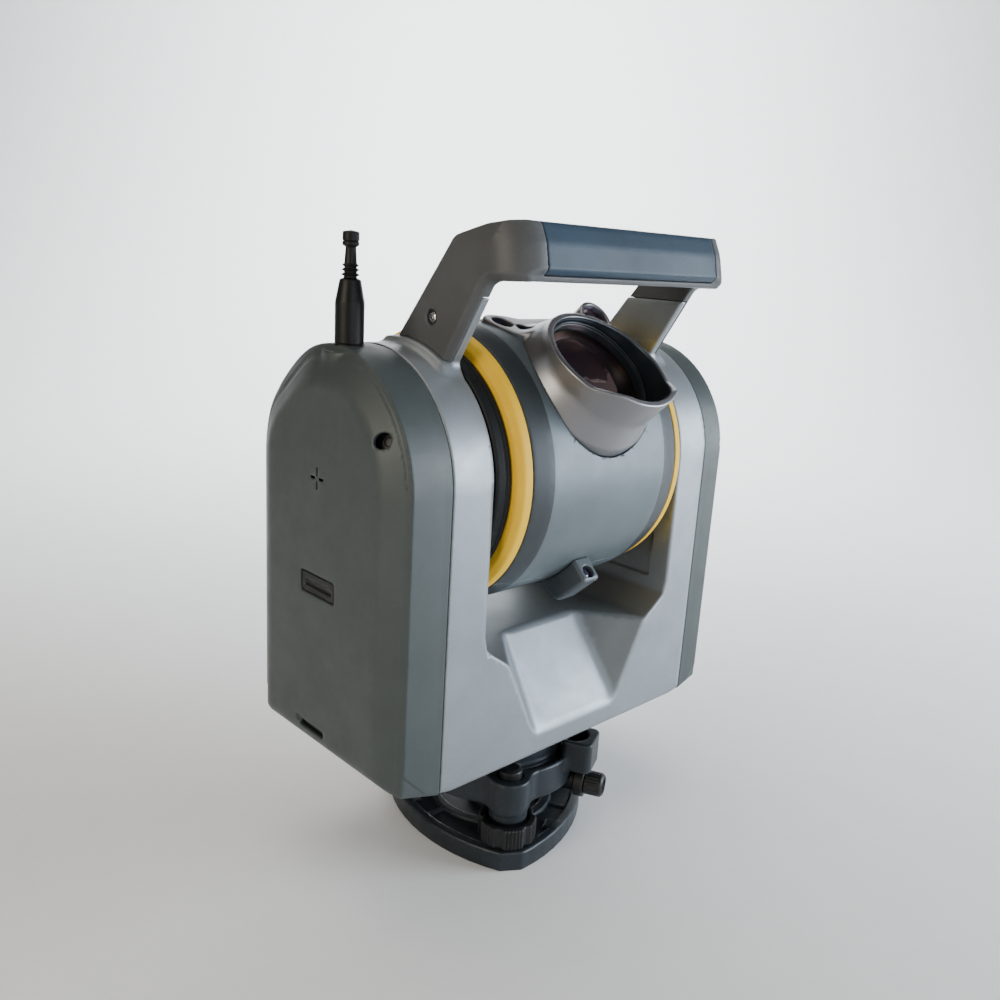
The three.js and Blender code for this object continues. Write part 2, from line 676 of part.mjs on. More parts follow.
function chassis() {
  const block = box(-52, 52, -42, 42, -50, 50);
  return cut(block, toFront(rod(HOOD_BORE_R + 0.2, -60, 60, FINE)));
}

// The rim of the hood: short at the top, sloping forward, with a chin that stands out.
function hoodRimCut() {
  const z = [60, 42, 10, -8, -20, -25, -31, -36, -60];
  const f = [HOOD_TOP_F - 3, HOOD_TOP_F, 105, 109, 112, 115, 120, HOOD_CHIN_F, HOOD_CHIN_F];
  const edge = z.map((height, k) => [-f[k], height]);
  return alongX(polygon([...edge, [-160, -60], [-160, 60]]), -60, 60);
}

function lensHood() {
  const flare = [[0, 50], [HOOD_SKIRT_R, 50], [HOOD_SKIRT_R, 80], [46, 88], [44, 93], [HOOD_R + 0.3, 99]];
  const skirt = toFront(turned([...flare, [HOOD_R, 106], [HOOD_R, 130], [0, 130]], FINE));
  const fin = finSolid();
  const tube = frontBore(TUBE, TUBE.r, 60, TUBE.f, MEDIUM);
  const web = hoodWeb();
  const drumSpace = toX(rod(DRUM_R + GAP, -80, 80, FINE));
  const outside = cut(joined([skirt, fin, tube, web]), drumSpace);
  const sleeve = toFront(rod(HOOD_R, 66, 100, FINE));
  const bore = toFront(rod(HOOD_BORE_R, 40, 140, FINE));
  const eyes = CAMERAS.map((camera) => frontBore(camera, camera.r, 40, 120));
  return cut(outside.add(sleeve), bore, hoodRimCut(), ...eyes, frontBore(TUBE, TUBE.bore, 40, 120));
}

function finSolid() {
  const outer = [[-22, 20.5], [-34, 23.5], [-43, 20], [-41, 5], [-36, -9]];
  const outline = [...outer, [-18, -16], [0, -4], [-8, 11], [-14, 16]];
  return alongY(polygon(outline), -FIN.reach, -FIN.reach + 12).rotate([-FIN.tilt, 0, 0]);
}

function hoodWeb() {
  return alongY(polygon([[14, 34], [44, 34], [48, 46], [38, 56], [14, 50]]), -84, -40);
}

function lensCell() {
  const outside = [[34, 44], [38.2, 44], [38.2, 95]];
  return toFront(turned([...outside, [36.4, 95], [36.4, 84], [34, 84], [34, 44]], MEDIUM));
}

function objectiveLens() {
  const face = [[36, 88], [28, 90], [18, 91.6], [9, 92.4], [0, 92.7]];
  return toFront(turned([[0, 84.4], [36, 84.4], ...face], MEDIUM));
}

function cameraLens(camera) {
  return frontBore(camera, camera.r - GAP, 50, camera.f - 3);
}

function trackerWindow() {
  return frontBore(TUBE, TUBE.bore - GAP, 60, TUBE.f - 3);
}

const POD = { front: 13, rear: 20, bottom: -104.5, bore: 4.2, boreZ: -98 };

function sensorPod() {
  const front = [[-POD.front, -86], [-POD.front - 1, POD.bottom]];
  const rear = [[POD.rear - 4, POD.bottom], [POD.rear + 6, -86]];
  const drumSpace = toX(rod(DRUM_R + GAP, -80, 80, FINE));
  const bore = frontBore({ x: 0, z: POD.boreZ }, POD.bore, 8, 40);
  return cut(alongX(polygon([...front, ...rear]), -POD_HALF, POD_HALF), drumSpace, bore);
}

function podWindow() {
  return frontBore({ x: 0, z: POD.boreZ }, POD.bore - GAP, 8.3, 12);
}

// ---- assembly ----
piece('base_plate', CAST, basePlate());
piece('thread_bush', BRASS, threadBush());
piece('spring_plate', STEEL, springPlate());
piece('tribrach_body', CAST, tribrachBody());
SCREW_ANGLES.forEach((angle, k) => {
  piece(`foot_screw_${k + 1}`, BLACK, footScrew(k));
  piece(`foot_cap_${k + 1}`, BLACK, footCap(k));
});
piece('level_housing', BLACK, levelHousing());
piece('level_vial', GLASS, levelVial());
piece('plummet_housing', BLACK, plummetHousing());
piece('plummet_eyepiece', BLACK, plummetEyepiece());
piece('lock_lever', BLACK, lockLever());
piece('instrument_base', CAST, instrumentBase());
piece('vertical_spindle', STEEL, verticalSpindle());
piece('azimuth_encoder_disc', GLASS, ring(12, 36, 91.5, 93.5));

piece('alidade_frame', SILVER, alidadeFrame());
piece('base_cover', SILVER, baseCover());
piece('azimuth_bearing_lower', STEEL, bearingZ(101, 110));
piece('azimuth_bearing_upper', STEEL, bearingZ(132, 141));
piece('azimuth_drive_coil', BRASS, ring(13, 23.4, 114, 128));
piece('left_cover', COVER_GREY, leftCover());
piece('right_cover', COVER_GREY, rightCover());
piece('slot_insert', BLACK, slotInsert());
piece('port_plug', BLACK, portPlug());
piece('power_button', BLACK, powerButton());
piece('battery_door', COVER_GREY, batteryDoor());
piece('battery_latch', BLACK, batteryLatch());
piece('battery_pack', BLACK, batteryPack());
piece('main_board', BOARD, box(-146, -144, -45, 45, 170, 290));
piece('left_trunnion_bearing', STEEL, trunnionBearing(-1));
piece('right_trunnion_bearing', STEEL, trunnionBearing(1));
piece('tilt_motor', BRASS, tiltMotor());
piece('handle', HANDLE_GREY, handle());
piece('handle_front_cover', HANDLE_BLUE, handleFrontCover());
piece('left_handle_screw', STEEL, handleScrew(-1));
piece('right_handle_screw', STEEL, handleScrew(1));
piece('antenna', RUBBER, antenna());
piece('antenna_connector', BRASS, antennaConnector());

piece('front_shell', DRUM_GREY, frontShell(), telescope);
piece('rear_shell', DRUM_GREY, rearShell(), telescope);
piece('left_yellow_ring', YELLOW, yellowRing(-1), telescope);
piece('right_yellow_ring', YELLOW, yellowRing(1), telescope);
piece('left_boot', RUBBER, boot(-1), telescope);
piece('right_boot', RUBBER, boot(1), telescope);
piece('left_trunnion_shaft', STEEL, trunnionShaft(-1), telescope);
piece('right_trunnion_shaft', STEEL, trunnionShaft(1), telescope);
piece('tilt_encoder_disc', GLASS, tiltEncoderDisc(), telescope);
piece('telescope_chassis', SILVER, chassis(), telescope);
piece('lens_hood', SATIN, lensHood(), telescope);
piece('lens_cell', BLACK, lensCell(), telescope);
piece('objective_lens', GLASS, objectiveLens(), telescope);
for (const camera of CAMERAS) piece(camera.name, GLASS, cameraLens(camera), telescope);
piece('tracker_window', GLASS, trackerWindow(), telescope);
piece('sensor_pod', DRUM_GREY, sensorPod(), telescope);
piece('pod_window', GLASS, podWindow(), telescope);

export default whole;
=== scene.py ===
"""Looks of a surveying total station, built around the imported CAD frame.

Distance fields and outlines are in millimetres, objects in metres.
"""

import json
import math

import bpy
import numpy as np
import openvdb
from mathutils import Euler, Matrix, Vector


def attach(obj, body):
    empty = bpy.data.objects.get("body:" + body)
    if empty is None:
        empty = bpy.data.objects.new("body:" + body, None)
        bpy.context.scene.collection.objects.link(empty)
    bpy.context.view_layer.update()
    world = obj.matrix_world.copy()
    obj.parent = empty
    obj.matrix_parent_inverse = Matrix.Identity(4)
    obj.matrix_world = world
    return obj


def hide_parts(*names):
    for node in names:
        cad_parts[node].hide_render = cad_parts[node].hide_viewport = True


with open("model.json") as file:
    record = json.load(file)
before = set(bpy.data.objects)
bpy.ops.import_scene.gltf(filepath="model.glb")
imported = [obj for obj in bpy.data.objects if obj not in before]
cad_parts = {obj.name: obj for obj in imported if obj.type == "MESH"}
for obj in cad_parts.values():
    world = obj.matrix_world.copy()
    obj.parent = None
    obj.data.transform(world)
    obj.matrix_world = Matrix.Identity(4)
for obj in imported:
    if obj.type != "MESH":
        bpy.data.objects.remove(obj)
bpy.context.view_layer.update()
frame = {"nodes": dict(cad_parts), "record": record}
NODES = frame["nodes"]
MM = 0.001

# driving dimensions, from the vertical axis and the bottom of the plate
AXIS_Y = 14.6
TRUNNION_Z = 270.0
TILT = 42.0
HALF_DEPTH = 76.0
FRAME_HALF = 117.0
FRAME_BOTTOM = 88.0
WELL_FLOOR = 159.5
WELL_HALF = 87.0
COVER_INNER = 117.3
COVER_HALF = 155.1
DRUM_R = 89.15
DRUM_BAND_X = 51.5
HOOD_R = 42.5
HOOD_BORE = 38.5
SCREW_ANGLES = (-123.0, -3.0, 117.0)
SCREW_RADIUS = 61.0
POST_RADIUS = 60.0
SIDE_ANGLE = -63.0
LEVER_ANGLE = 57.0
PLUMMET_Z = 37.0
DIAGONAL = 0.7071


# ------------ distance fields
class Grid:
    """A box of sample points. x, y and z broadcast against each other."""

    def __init__(self, low, high, step):
        self.low = np.array(low, np.float64)
        self.step = float(step)
        counts = np.ceil((np.array(high, float) - self.low) / step).astype(int) + 1
        axes = [(self.low[i] + step * np.arange(counts[i])).astype(np.float32) for i in range(3)]
        self.shape = tuple(counts)
        self.x = axes[0][:, None, None]
        self.y = axes[1][None, :, None]
        self.z = axes[2][None, None, :]


def both(a, b, r=0.0):
    """Intersection, its edge rounded to radius r."""
    if not r:
        return np.maximum(a, b)
    u, v = np.maximum(r + a, 0), np.maximum(r + b, 0)
    return np.minimum(-r, np.maximum(a, b)) + np.sqrt(u * u + v * v)


def either(a, b, r=0.0):
    """Union, its inner corner filled to radius r."""
    if not r:
        return np.minimum(a, b)
    u, v = np.maximum(r - a, 0), np.maximum(r - b, 0)
    return np.maximum(r, np.minimum(a, b)) - np.sqrt(u * u + v * v)


def less(a, b, r=0.0):
    return both(a, -b, r)


def poly(px, py, points):
    """Signed distance to a closed polygon in the plane of px and py."""
    pts = np.array([p[:2] for p in points], np.float64)
    best, inside = None, False
    for a, b in zip(pts, np.roll(pts, -1, 0)):
        ex, ey = b - a
        if ex == 0 and ey == 0:
            continue
        wx, wy = px - a[0], py - a[1]
        t = np.clip((wx * ex + wy * ey) / (ex * ex + ey * ey), 0, 1)
        dx, dy = wx - ex * t, wy - ey * t
        q = dx * dx + dy * dy
        best = q if best is None else np.minimum(best, q)
        if ey != 0:
            span = (py >= min(a[1], b[1])) & (py < max(a[1], b[1]))
            inside = inside ^ (span & (px < a[0] + (py - a[1]) * ex / ey))
    return (np.where(inside, -1, 1) * np.sqrt(best)).astype(np.float32)


def arcs(points, steps=6):
    """Corners given as (x, y, r) become arcs of radius r."""
    out = []
    count = len(points)
    for i, point in enumerate(points):
        r = point[2] if len(point) > 2 else 0
        p = np.array(point[:2], float)
        if not r:
            out.append(tuple(p))
            continue
        a = np.array(points[i - 1][:2], float) - p
        b = np.array(points[(i + 1) % count][:2], float) - p
        la, lb = np.linalg.norm(a), np.linalg.norm(b)
        a, b = a / la, b / lb
        angle = math.acos(max(-1.0, min(1.0, float(a @ b))))
        if angle > math.pi - 0.02:
            out.append(tuple(p))
            continue
        run = min(r / math.tan(angle / 2), 0.49 * la, 0.49 * lb)
        radius = run * math.tan(angle / 2)
        middle = (a + b) / np.linalg.norm(a + b)
        centre = p + middle * radius / math.sin(angle / 2)
        start, end = p + a * run - centre, p + b * run - centre
        t0, t1 = math.atan2(start[1], start[0]), math.atan2(end[1], end[0])
        sweep = (t1 - t0 + math.pi) % (2 * math.pi) - math.pi
        for k in range(steps + 1):
            t = t0 + sweep * k / steps
            out.append((centre[0] + radius * math.cos(t), centre[1] + radius * math.sin(t)))
    return out


def mirrored(points):
    """A half outline, from its middle at the bottom to its middle at the top, closed by its mirror image."""
    return list(points) + [(-p[0], *p[1:]) for p in reversed(points)]


def slab(w, low, high):
    return np.maximum(low - w, w - high)


def box(g, x0, x1, y0, y1, z0, z1, r=0.0):
    """A box with its edges rounded to radius r."""
    qx = np.abs(g.x - (x0 + x1) / 2) - (x1 - x0) / 2 + r
    qy = np.abs(g.y - (y0 + y1) / 2) - (y1 - y0) / 2 + r
    qz = np.abs(g.z - (z0 + z1) / 2) - (z1 - z0) / 2 + r
    outer = np.sqrt(np.maximum(qx, 0) ** 2 + np.maximum(qy, 0) ** 2 + np.maximum(qz, 0) ** 2)
    return outer + np.minimum(np.maximum(np.maximum(qx, qy), qz), 0) - r


def hypot(a, b):
    return np.sqrt(a * a + b * b)


def polar(radius, degrees):
    angle = math.radians(degrees)
    return radius * math.cos(angle), radius * math.sin(angle)


def sample(field, grid, points):
    """Trilinear samples of a field at points in millimetres."""
    q = (points - grid.low) / grid.step
    i = np.clip(np.floor(q).astype(int), 0, np.array(field.shape) - 2)
    f = np.clip(q - i, 0, 1)
    out = 0
    for a in (0, 1):
        for b in (0, 1):
            for c in (0, 1):
                w = np.abs(1 - a - f[:, 0]) * np.abs(1 - b - f[:, 1]) * np.abs(1 - c - f[:, 2])
                out = out + w * field[i[:, 0] + a, i[:, 1] + b, i[:, 2] + c]
    return out


def shift(x=0.0, y=0.0, z=0.0):
    return Matrix.Translation((x * MM, y * MM, z * MM))


HERE = shift(y=AXIS_Y)
TELESCOPE = HERE @ shift(z=TRUNNION_Z) @ Matrix.Rotation(math.radians(-TILT), 4, "X")


def put(name, mesh, material, body, node=None):
    """A piece that rides on a body, and stands for a CAD node if one is given."""
    mesh.name = name
    obj = bpy.data.objects.new(name, mesh)
    bpy.context.scene.collection.objects.link(obj)
    mesh.materials.append(material)
    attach(obj, body)
    if node:
        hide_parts(node)


def mark_edges(mesh, strength):
    """An attribute for the materials that is high on convex edges."""
    mesh.attributes.new("edge", "FLOAT", "POINT").data.foreach_set("value", strength)


def surface(field, grid, place=HERE, adaptivity=0.0):
    """The zero surface of a field as a smooth mesh, with normals taken from the field."""
    field = np.broadcast_to(field, grid.shape).astype(np.float32)
    band = 3 * grid.step
    volume = openvdb.FloatGrid(band)
    volume.copyFromArray(np.ascontiguousarray(np.clip(field, -band, band)))
    points, triangles, quads = volume.convertToPolygons(isovalue=0.0, adaptivity=adaptivity)
    faces = [tuple(f) for f in triangles.tolist()] + [tuple(f) for f in quads.tolist()]
    mesh = bpy.data.meshes.new("form")
    mesh.from_pydata((points * grid.step + grid.low).tolist(), [], faces)
    co = np.empty(len(mesh.vertices) * 3)
    mesh.vertices.foreach_get("co", co)
    co = co.reshape(-1, 3)

    def pairs(reach):
        """Samples on both sides of each vertex, along each axis."""
        steps = np.eye(3) * reach
        return [(sample(field, grid, co + step), sample(field, grid, co - step)) for step in steps]

    gradient = np.stack([after - before for after, before in pairs(0.6 * grid.step)], 1)
    normals = gradient / np.maximum(np.linalg.norm(gradient, axis=1, keepdims=True), 1e-9)
    reach = 1.2 * grid.step
    centre = sample(field, grid, co)
    curve = sum(after + before - 2 * centre for after, before in pairs(reach)) / (reach * reach)
    mesh.calc_loop_triangles()
    corners = np.array([t.vertices[:] for t in mesh.loop_triangles])
    a, b, c = co[corners[:, 0]], co[corners[:, 1]], co[corners[:, 2]]
    facing = np.einsum("ij,ij->i", np.cross(b - a, c - a), normals[corners[:, 0]])
    if facing.sum() < 0:
        mesh.flip_normals()
    mark_edges(mesh, np.clip(curve, -1, 1).astype(np.float32))
    mesh.transform(place @ Matrix.Scale(MM, 4))
    mesh.shade_smooth()
    mesh.normals_split_custom_set_from_vertices((normals @ np.array(place.to_3x3()).T).tolist())
    return mesh


def revolved(profile, segments=96, place=HERE):
    """An outline of (radius, height[, corner radius]) turned about Z, with normals weighted by length."""
    points = arcs(profile, 5)
    points = [p for i, p in enumerate(points) if math.dist(p, points[i - 1]) > 1e-4]
    area = sum(a[0] * b[1] - b[0] * a[1] for a, b in zip(points, points[1:] + points[:1]))
    if area < 0:
        points.reverse()
    count = len(points)
    on_axis = [r < 1e-6 for r, _ in points]
    runs, sides = [], []
    for a, b in zip(points, points[1:] + points[:1]):
        run = math.dist(a, b)
        runs.append(run)
        sides.append(((b[1] - a[1]) / run, (a[0] - b[0]) / run))

    def blended(i, own):
        """Normal at point i for the side called own."""
        before, after = sides[i - 1], sides[i]
        if before[0] * after[0] + before[1] * after[1] < math.cos(math.radians(32)):
            return own
        n = [before[k] * runs[i - 1] + after[k] * runs[i] for k in (0, 1)]
        size = math.hypot(*n) or 1
        return n[0] / size, n[1] / size

    angles = [2 * math.pi * s / segments for s in range(segments)]
    turn = [(math.cos(angle), math.sin(angle)) for angle in angles]
    vertices, first = [], []
    for (r, h), single in zip(points, on_axis):
        first.append(len(vertices))
        if single:
            vertices.append((0, 0, h))
        else:
            vertices.extend((r * c, r * s, h) for c, s in turn)
    faces, normals = [], []
    for i in range(count):
        j = (i + 1) % count
        if on_axis[i] and on_axis[j]:
            continue
        ni, nj = blended(i, sides[i]), blended(j, sides[i])
        for s in range(segments):
            t = (s + 1) % segments
            quad = [(i, s, ni), (i, t, ni), (j, t, nj), (j, s, nj)]
            if on_axis[i]:
                quad = [(i, s, ni), (j, t, nj), (j, s, nj)]
            elif on_axis[j]:
                quad = [(i, s, ni), (i, t, ni), (j, s, nj)]
            faces.append([first[p] + (0 if on_axis[p] else k) for p, k, _ in quad])
            normals.extend((n[0] * turn[k][0], n[0] * turn[k][1], n[1]) for _, k, n in quad)
    mesh = bpy.data.meshes.new("form")
    mesh.from_pydata(vertices, [], faces)
    mesh.transform(place @ Matrix.Scale(MM, 4))
    mesh.shade_smooth()
    mesh.normals_split_custom_set((np.array(normals) @ np.array(place.to_3x3()).T).tolist())
    strength = np.zeros(len(vertices), np.float32)
    for i in range(count):
        before, after = sides[i - 1], sides[i]
        bend = before[0] * after[1] - before[1] * after[0]
        run = 0.5 * (runs[i - 1] + runs[i])
        if bend > 0.05:
            last = first[i] + (1 if on_axis[i] else segments)
            strength[first[i]:last] = min(1.0, bend / max(run, 0.3))
    mark_edges(mesh, strength)
    return mesh


BODY_OF = {n: b for b, ns in frame["record"]["behaviour"]["bodies"].items() for n in ns}


def stand_for(node, mesh, material):
    """A finished piece in the place of a CAD node."""
    put(node + "_form", mesh, material, BODY_OF[node], node)


def placed(x=0.0, y=0.0, z=0.0):
    return HERE @ shift(x, y, z)


def forward_at(x=0.0, z=0.0):
    """A place whose Z points out of the front of the telescope."""
    return TELESCOPE @ shift(x, 0, z) @ Matrix.Rotation(math.pi / 2, 4, "X")


def outward(degrees, height):
    """A place whose Z points level away from the vertical axis."""
    turn = Matrix.Rotation(math.radians(degrees), 4, "Z") @ Matrix.Rotation(math.pi / 2, 4, "Y")
    return placed(z=height) @ turn


# ------------ materials
def finish(name, base, rough, metal=0.0, grain=0.35, grain_size=0.5, mottle=0.06, smudge=0.08,
           wear=0.12, worn=None, specular=0.5, brushed=None, extra=None):
    """A moulded, painted or machined surface. Sizes are in millimetres."""
    material = bpy.data.materials.new(name)
    material.use_nodes = True
    nodes, links = material.node_tree.nodes, material.node_tree.links
    shader = nodes["Principled BSDF"]
    shader.inputs["Metallic"].default_value = metal
    shader.inputs["Specular IOR Level"].default_value = specular
    where = fine_where = nodes.new("ShaderNodeTexCoord").outputs["Object"]
    if brushed:
        stretch = nodes.new("ShaderNodeMapping")
        stretch.inputs["Scale"].default_value = brushed
        links.new(where, stretch.inputs["Vector"])
        fine_where = stretch.outputs["Vector"]

    def noise(size_mm, detail, source=where, rough_detail=0.55):
        node = nodes.new("ShaderNodeTexNoise")
        for label, value in (("Scale", 1 / (size_mm * MM)), ("Detail", detail), ("Roughness", rough_detail)):
            node.inputs[label].default_value = value
        links.new(source, node.inputs["Vector"])
        return node.outputs["Fac"]

    def ramp(source, *spans):
        """The source taken from one span (low, high) to another."""
        node = nodes.new("ShaderNodeMapRange")
        for label, value in zip(("From Min", "From Max", "To Min", "To Max"), spans):
            node.inputs[label].default_value = value
        links.new(source, node.inputs["Value"])
        return node.outputs["Result"]

    def blend(factor, a, b):
        node = nodes.new("ShaderNodeMix")
        node.data_type = "RGBA"
        links.new(factor, node.inputs["Factor"])
        for socket, value in (("A", a), ("B", b)):
            target = [s for s in node.inputs if s.name == socket and s.type == "RGBA"][0]
            if isinstance(value, tuple):
                target.default_value = (*value[:3], 1)
            else:
                links.new(value, target)
        return [s for s in node.outputs if s.type == "RGBA"][0]

    cloudy = noise(38, 3)
    speck = noise(grain_size * 1.6, 2, fine_where)
    deep = tuple(c * (1 - 2 * mottle) for c in base)
    light = tuple(min(1.0, c * (1 + 2 * mottle)) for c in base)
    tone = blend(ramp(cloudy, 0.3, 0.7, 0.0, 1.0), deep, light)
    dots = tuple(min(1.0, c * (1 + 3 * mottle) + 0.004) for c in base)
    tone = blend(ramp(speck, 0.42, 0.75, 0.0, 0.55), tone, dots)
    if extra:
        tone = extra(nodes, links, where, blend, ramp, tone)
    rough_out = ramp(noise(22, 4, where, 0.65), 0.3, 0.72, rough - smudge * 0.5, rough + smudge)
    if wear:
        edge = nodes.new("ShaderNodeAttribute")
        edge.attribute_name = "edge"
        rubbed = nodes.new("ShaderNodeMath")
        rubbed.operation = "MULTIPLY"
        links.new(ramp(edge.outputs["Fac"], 0.16, 0.6, 0.0, wear), rubbed.inputs[0])
        links.new(ramp(noise(6, 4), 0.4, 0.66, 0.15, 1.0), rubbed.inputs[1])
        bare = worn or tuple(min(1.0, c * 1.7 + 0.03) for c in base)
        tone = blend(rubbed.outputs["Value"], tone, bare)
    links.new(tone, shader.inputs["Base Color"])
    links.new(rough_out, shader.inputs["Roughness"])
    bump = nodes.new("ShaderNodeBump")
    bump.inputs["Strength"].default_value = grain
    bump.inputs["Distance"].default_value = 0.00006
    links.new(noise(grain_size, 2, fine_where), bump.inputs["Height"])
    links.new(bump.outputs["Normal"], shader.inputs["Normal"])
    material.diffuse_color = (*base, 1)
    return material


def lens_glass(name, tint, film):
    """Coated glass seen from outside: a dark body under a thin film that colours its reflections."""
    material = finish(name, tint, 0.02, mottle=0.15, smudge=0.015, grain=0.02, grain_size=3.0, wear=0,
                      specular=1.0)
    shader = material.node_tree.nodes["Principled BSDF"]
    shader.inputs["IOR"].default_value = 2.3
    shader.inputs["Thin Film Thickness"].default_value = film
    shader.inputs["Thin Film IOR"].default_value = 1.38
    return material


def painted_shade_ends(nodes, links, where, blend, ramp, tone):
    """Painted shade: the tapered bands at both ends of the drum get a darker grey that stands in for the
    dark room they reflect.
    """
    split = nodes.new("ShaderNodeSeparateXYZ")
    links.new(where, split.inputs["Vector"])
    size = nodes.new("ShaderNodeMath")
    size.operation = "ABSOLUTE"
    links.new(split.outputs["X"], size.inputs[0])
    band = ramp(size.outputs["Value"], (DRUM_BAND_X - 0.1) * MM, (DRUM_BAND_X + 0.2) * MM, 0.0, 1.0)
    # painted shade: a darker grey over both tapered end bands
    return blend(band, tone, (0.034, 0.041, 0.046))


def dark_bore(nodes, links, where, blend, ramp, tone):
    """The bore of the hood is blackened; its lip stays bright."""
    centre, ahead = TELESCOPE @ Vector((0, 0, 0)), TELESCOPE.to_3x3() @ Vector((0, -1, 0))
    source = where
    for operation, value in (("SUBTRACT", centre), ("CROSS_PRODUCT", ahead)):
        node = nodes.new("ShaderNodeVectorMath")
        node.operation = operation
        links.new(source, node.inputs[0])
        node.inputs[1].default_value = value
        source = node.outputs["Vector"]
    size = nodes.new("ShaderNodeVectorMath")
    size.operation = "LENGTH"
    links.new(source, size.inputs[0])
    bore = ramp(size.outputs["Value"], (HOOD_BORE + 0.25) * MM, (HOOD_BORE + 0.4) * MM, 1.0, 0.0)
    return blend(bore, tone, (0.06, 0.085, 0.105))


SILVER = finish("silver_paint", (0.235, 0.26, 0.28), 0.42, 0.55, grain=0.45, mottle=0.05, wear=0.15)
COVER = finish("cover_paint", (0.046, 0.057, 0.058), 0.46, 0.1, grain=0.4, specular=0.4)
HANDLE = finish("handle_plastic", (0.074, 0.077, 0.081), 0.46, specular=0.3)
BLUE = finish("handle_cover_plastic", (0.024, 0.044, 0.068), 0.46, grain=0.25, grain_size=0.4, mottle=0.08,
              brushed=(0.25, 1, 1), specular=0.25)
# the drum's tapered end bands carry painted shade from the extra hook
DRUM = finish("drum_paint", (0.098, 0.123, 0.134), 0.44, 0.25, grain=0.5, extra=painted_shade_ends, specular=0.4)
POD = finish("pod_paint", (0.075, 0.088, 0.10), 0.44, 0.25, grain=0.4, wear=0.3)
YELLOW = finish("yellow_ring", (0.80, 0.47, 0.022), 0.5, grain=0.22, grain_size=0.6, mottle=0.05, wear=0.1,
                worn=(0.8, 0.5, 0.12), specular=0.25)
RUBBER = finish("boot_rubber", (0.005, 0.007, 0.009), 0.5, grain=0.5, grain_size=0.6, mottle=0.15, wear=0.2,
                worn=(0.02, 0.022, 0.025), specular=0.25)
WHIP = finish("antenna_rubber", (0.004, 0.004, 0.004), 0.42, grain=0.4, grain_size=0.6, mottle=0.15,
              wear=0.2, worn=(0.02, 0.02, 0.02), specular=0.25)
BLACK = finish("black_plastic", (0.006, 0.007, 0.008), 0.42, grain_size=0.4, mottle=0.12, wear=0.2,
               worn=(0.03, 0.032, 0.035), specular=0.35)
CAST = finish("dark_enamel", (0.017, 0.023, 0.029), 0.40, 0.25, grain=0.6, grain_size=0.9, mottle=0.12,
              wear=0.2, worn=(0.08, 0.09, 0.10), specular=0.4)
SATIN = finish("hood_satin", (0.25, 0.25, 0.265), 0.35, 0.9, grain=0.12, grain_size=0.35, mottle=0.02,
               smudge=0.03, wear=0, extra=dark_bore)
INSIDE = finish("hood_inside", (0.014, 0.019, 0.024), 0.34, grain=0.30, grain_size=0.4, mottle=0.15, wear=0)
STEEL = finish("ground_steel", (0.55, 0.56, 0.57), 0.26, 1.0, grain=0.25, grain_size=0.3, mottle=0.04,
               wear=0.1, brushed=(1, 1, 0.08))
DARK_STEEL = finish("spring_steel", (0.045, 0.047, 0.05), 0.35, 0.8, grain=0.2, grain_size=0.6, mottle=0.1,
                    wear=0.1)
BRASS = finish("turned_brass", (0.40, 0.27, 0.10), 0.32, 1.0, grain=0.25, grain_size=0.3, mottle=0.08,
               wear=0.1)
BOARD = finish("board_laminate", (0.02, 0.11, 0.055), 0.4, grain=0.3, grain_size=1.2, mottle=0.12, wear=0)
COPPER = finish("winding_copper", (0.5, 0.2, 0.08), 0.35, 1.0, grain=0.6, mottle=0.12, wear=0)
LENS = lens_glass("objective_coating", (0.006, 0.003, 0.006), 108)
LENS_SMALL = lens_glass("camera_coating", (0.004, 0.004, 0.008), 120)
VIAL = lens_glass("vial_glass", (0.22, 0.28, 0.10), 0)
DISC = lens_glass("encoder_glass", (0.05, 0.06, 0.07), 260)


# ------------ alidade
def arch(g, half):
    """Distance to a slab of the given half depth whose top is a half round on the trunnion axis."""
    above = g.z - TRUNNION_Z
    return np.where(above > 0, hypot(g.y, above), np.abs(g.y)).astype(np.float32) - half


def plane(x, y, z, point, normal):
    """Distance to a plane through a point."""
    n = np.array(normal, float)
    n = n / np.linalg.norm(n)
    return (x - point[0]) * n[0] + (y - point[1]) * n[1] + (z - point[2]) * n[2]


def arm_outline(z0, z1, front=0.0, rear=0.0):
    """Side view of the leaning arm between two heights over the trunnion axis, grown at its edges."""
    def edge(z):
        return -48.7 - 0.6 * (z - 80) - front, 3.3 - 0.8 * (z - 80) + rear
    (f0, r0), (f1, r1) = edge(z0), edge(z1)
    return [(f0, TRUNNION_Z + z0), (r0, TRUNNION_Z + z0), (r1, TRUNNION_Z + z1), (f1, TRUNNION_Z + z1)]


def unfold(grid, field):
    """Both halves of a shape that was sampled for x from zero upwards."""
    high = grid.low + grid.step * (np.array(field.shape) - 1)
    whole = Grid((-high[0], *grid.low[1:]), high, grid.step)
    whole.shape = (2 * field.shape[0] - 1, *field.shape[1:])
    return np.concatenate([field[:0:-1], field]), whole


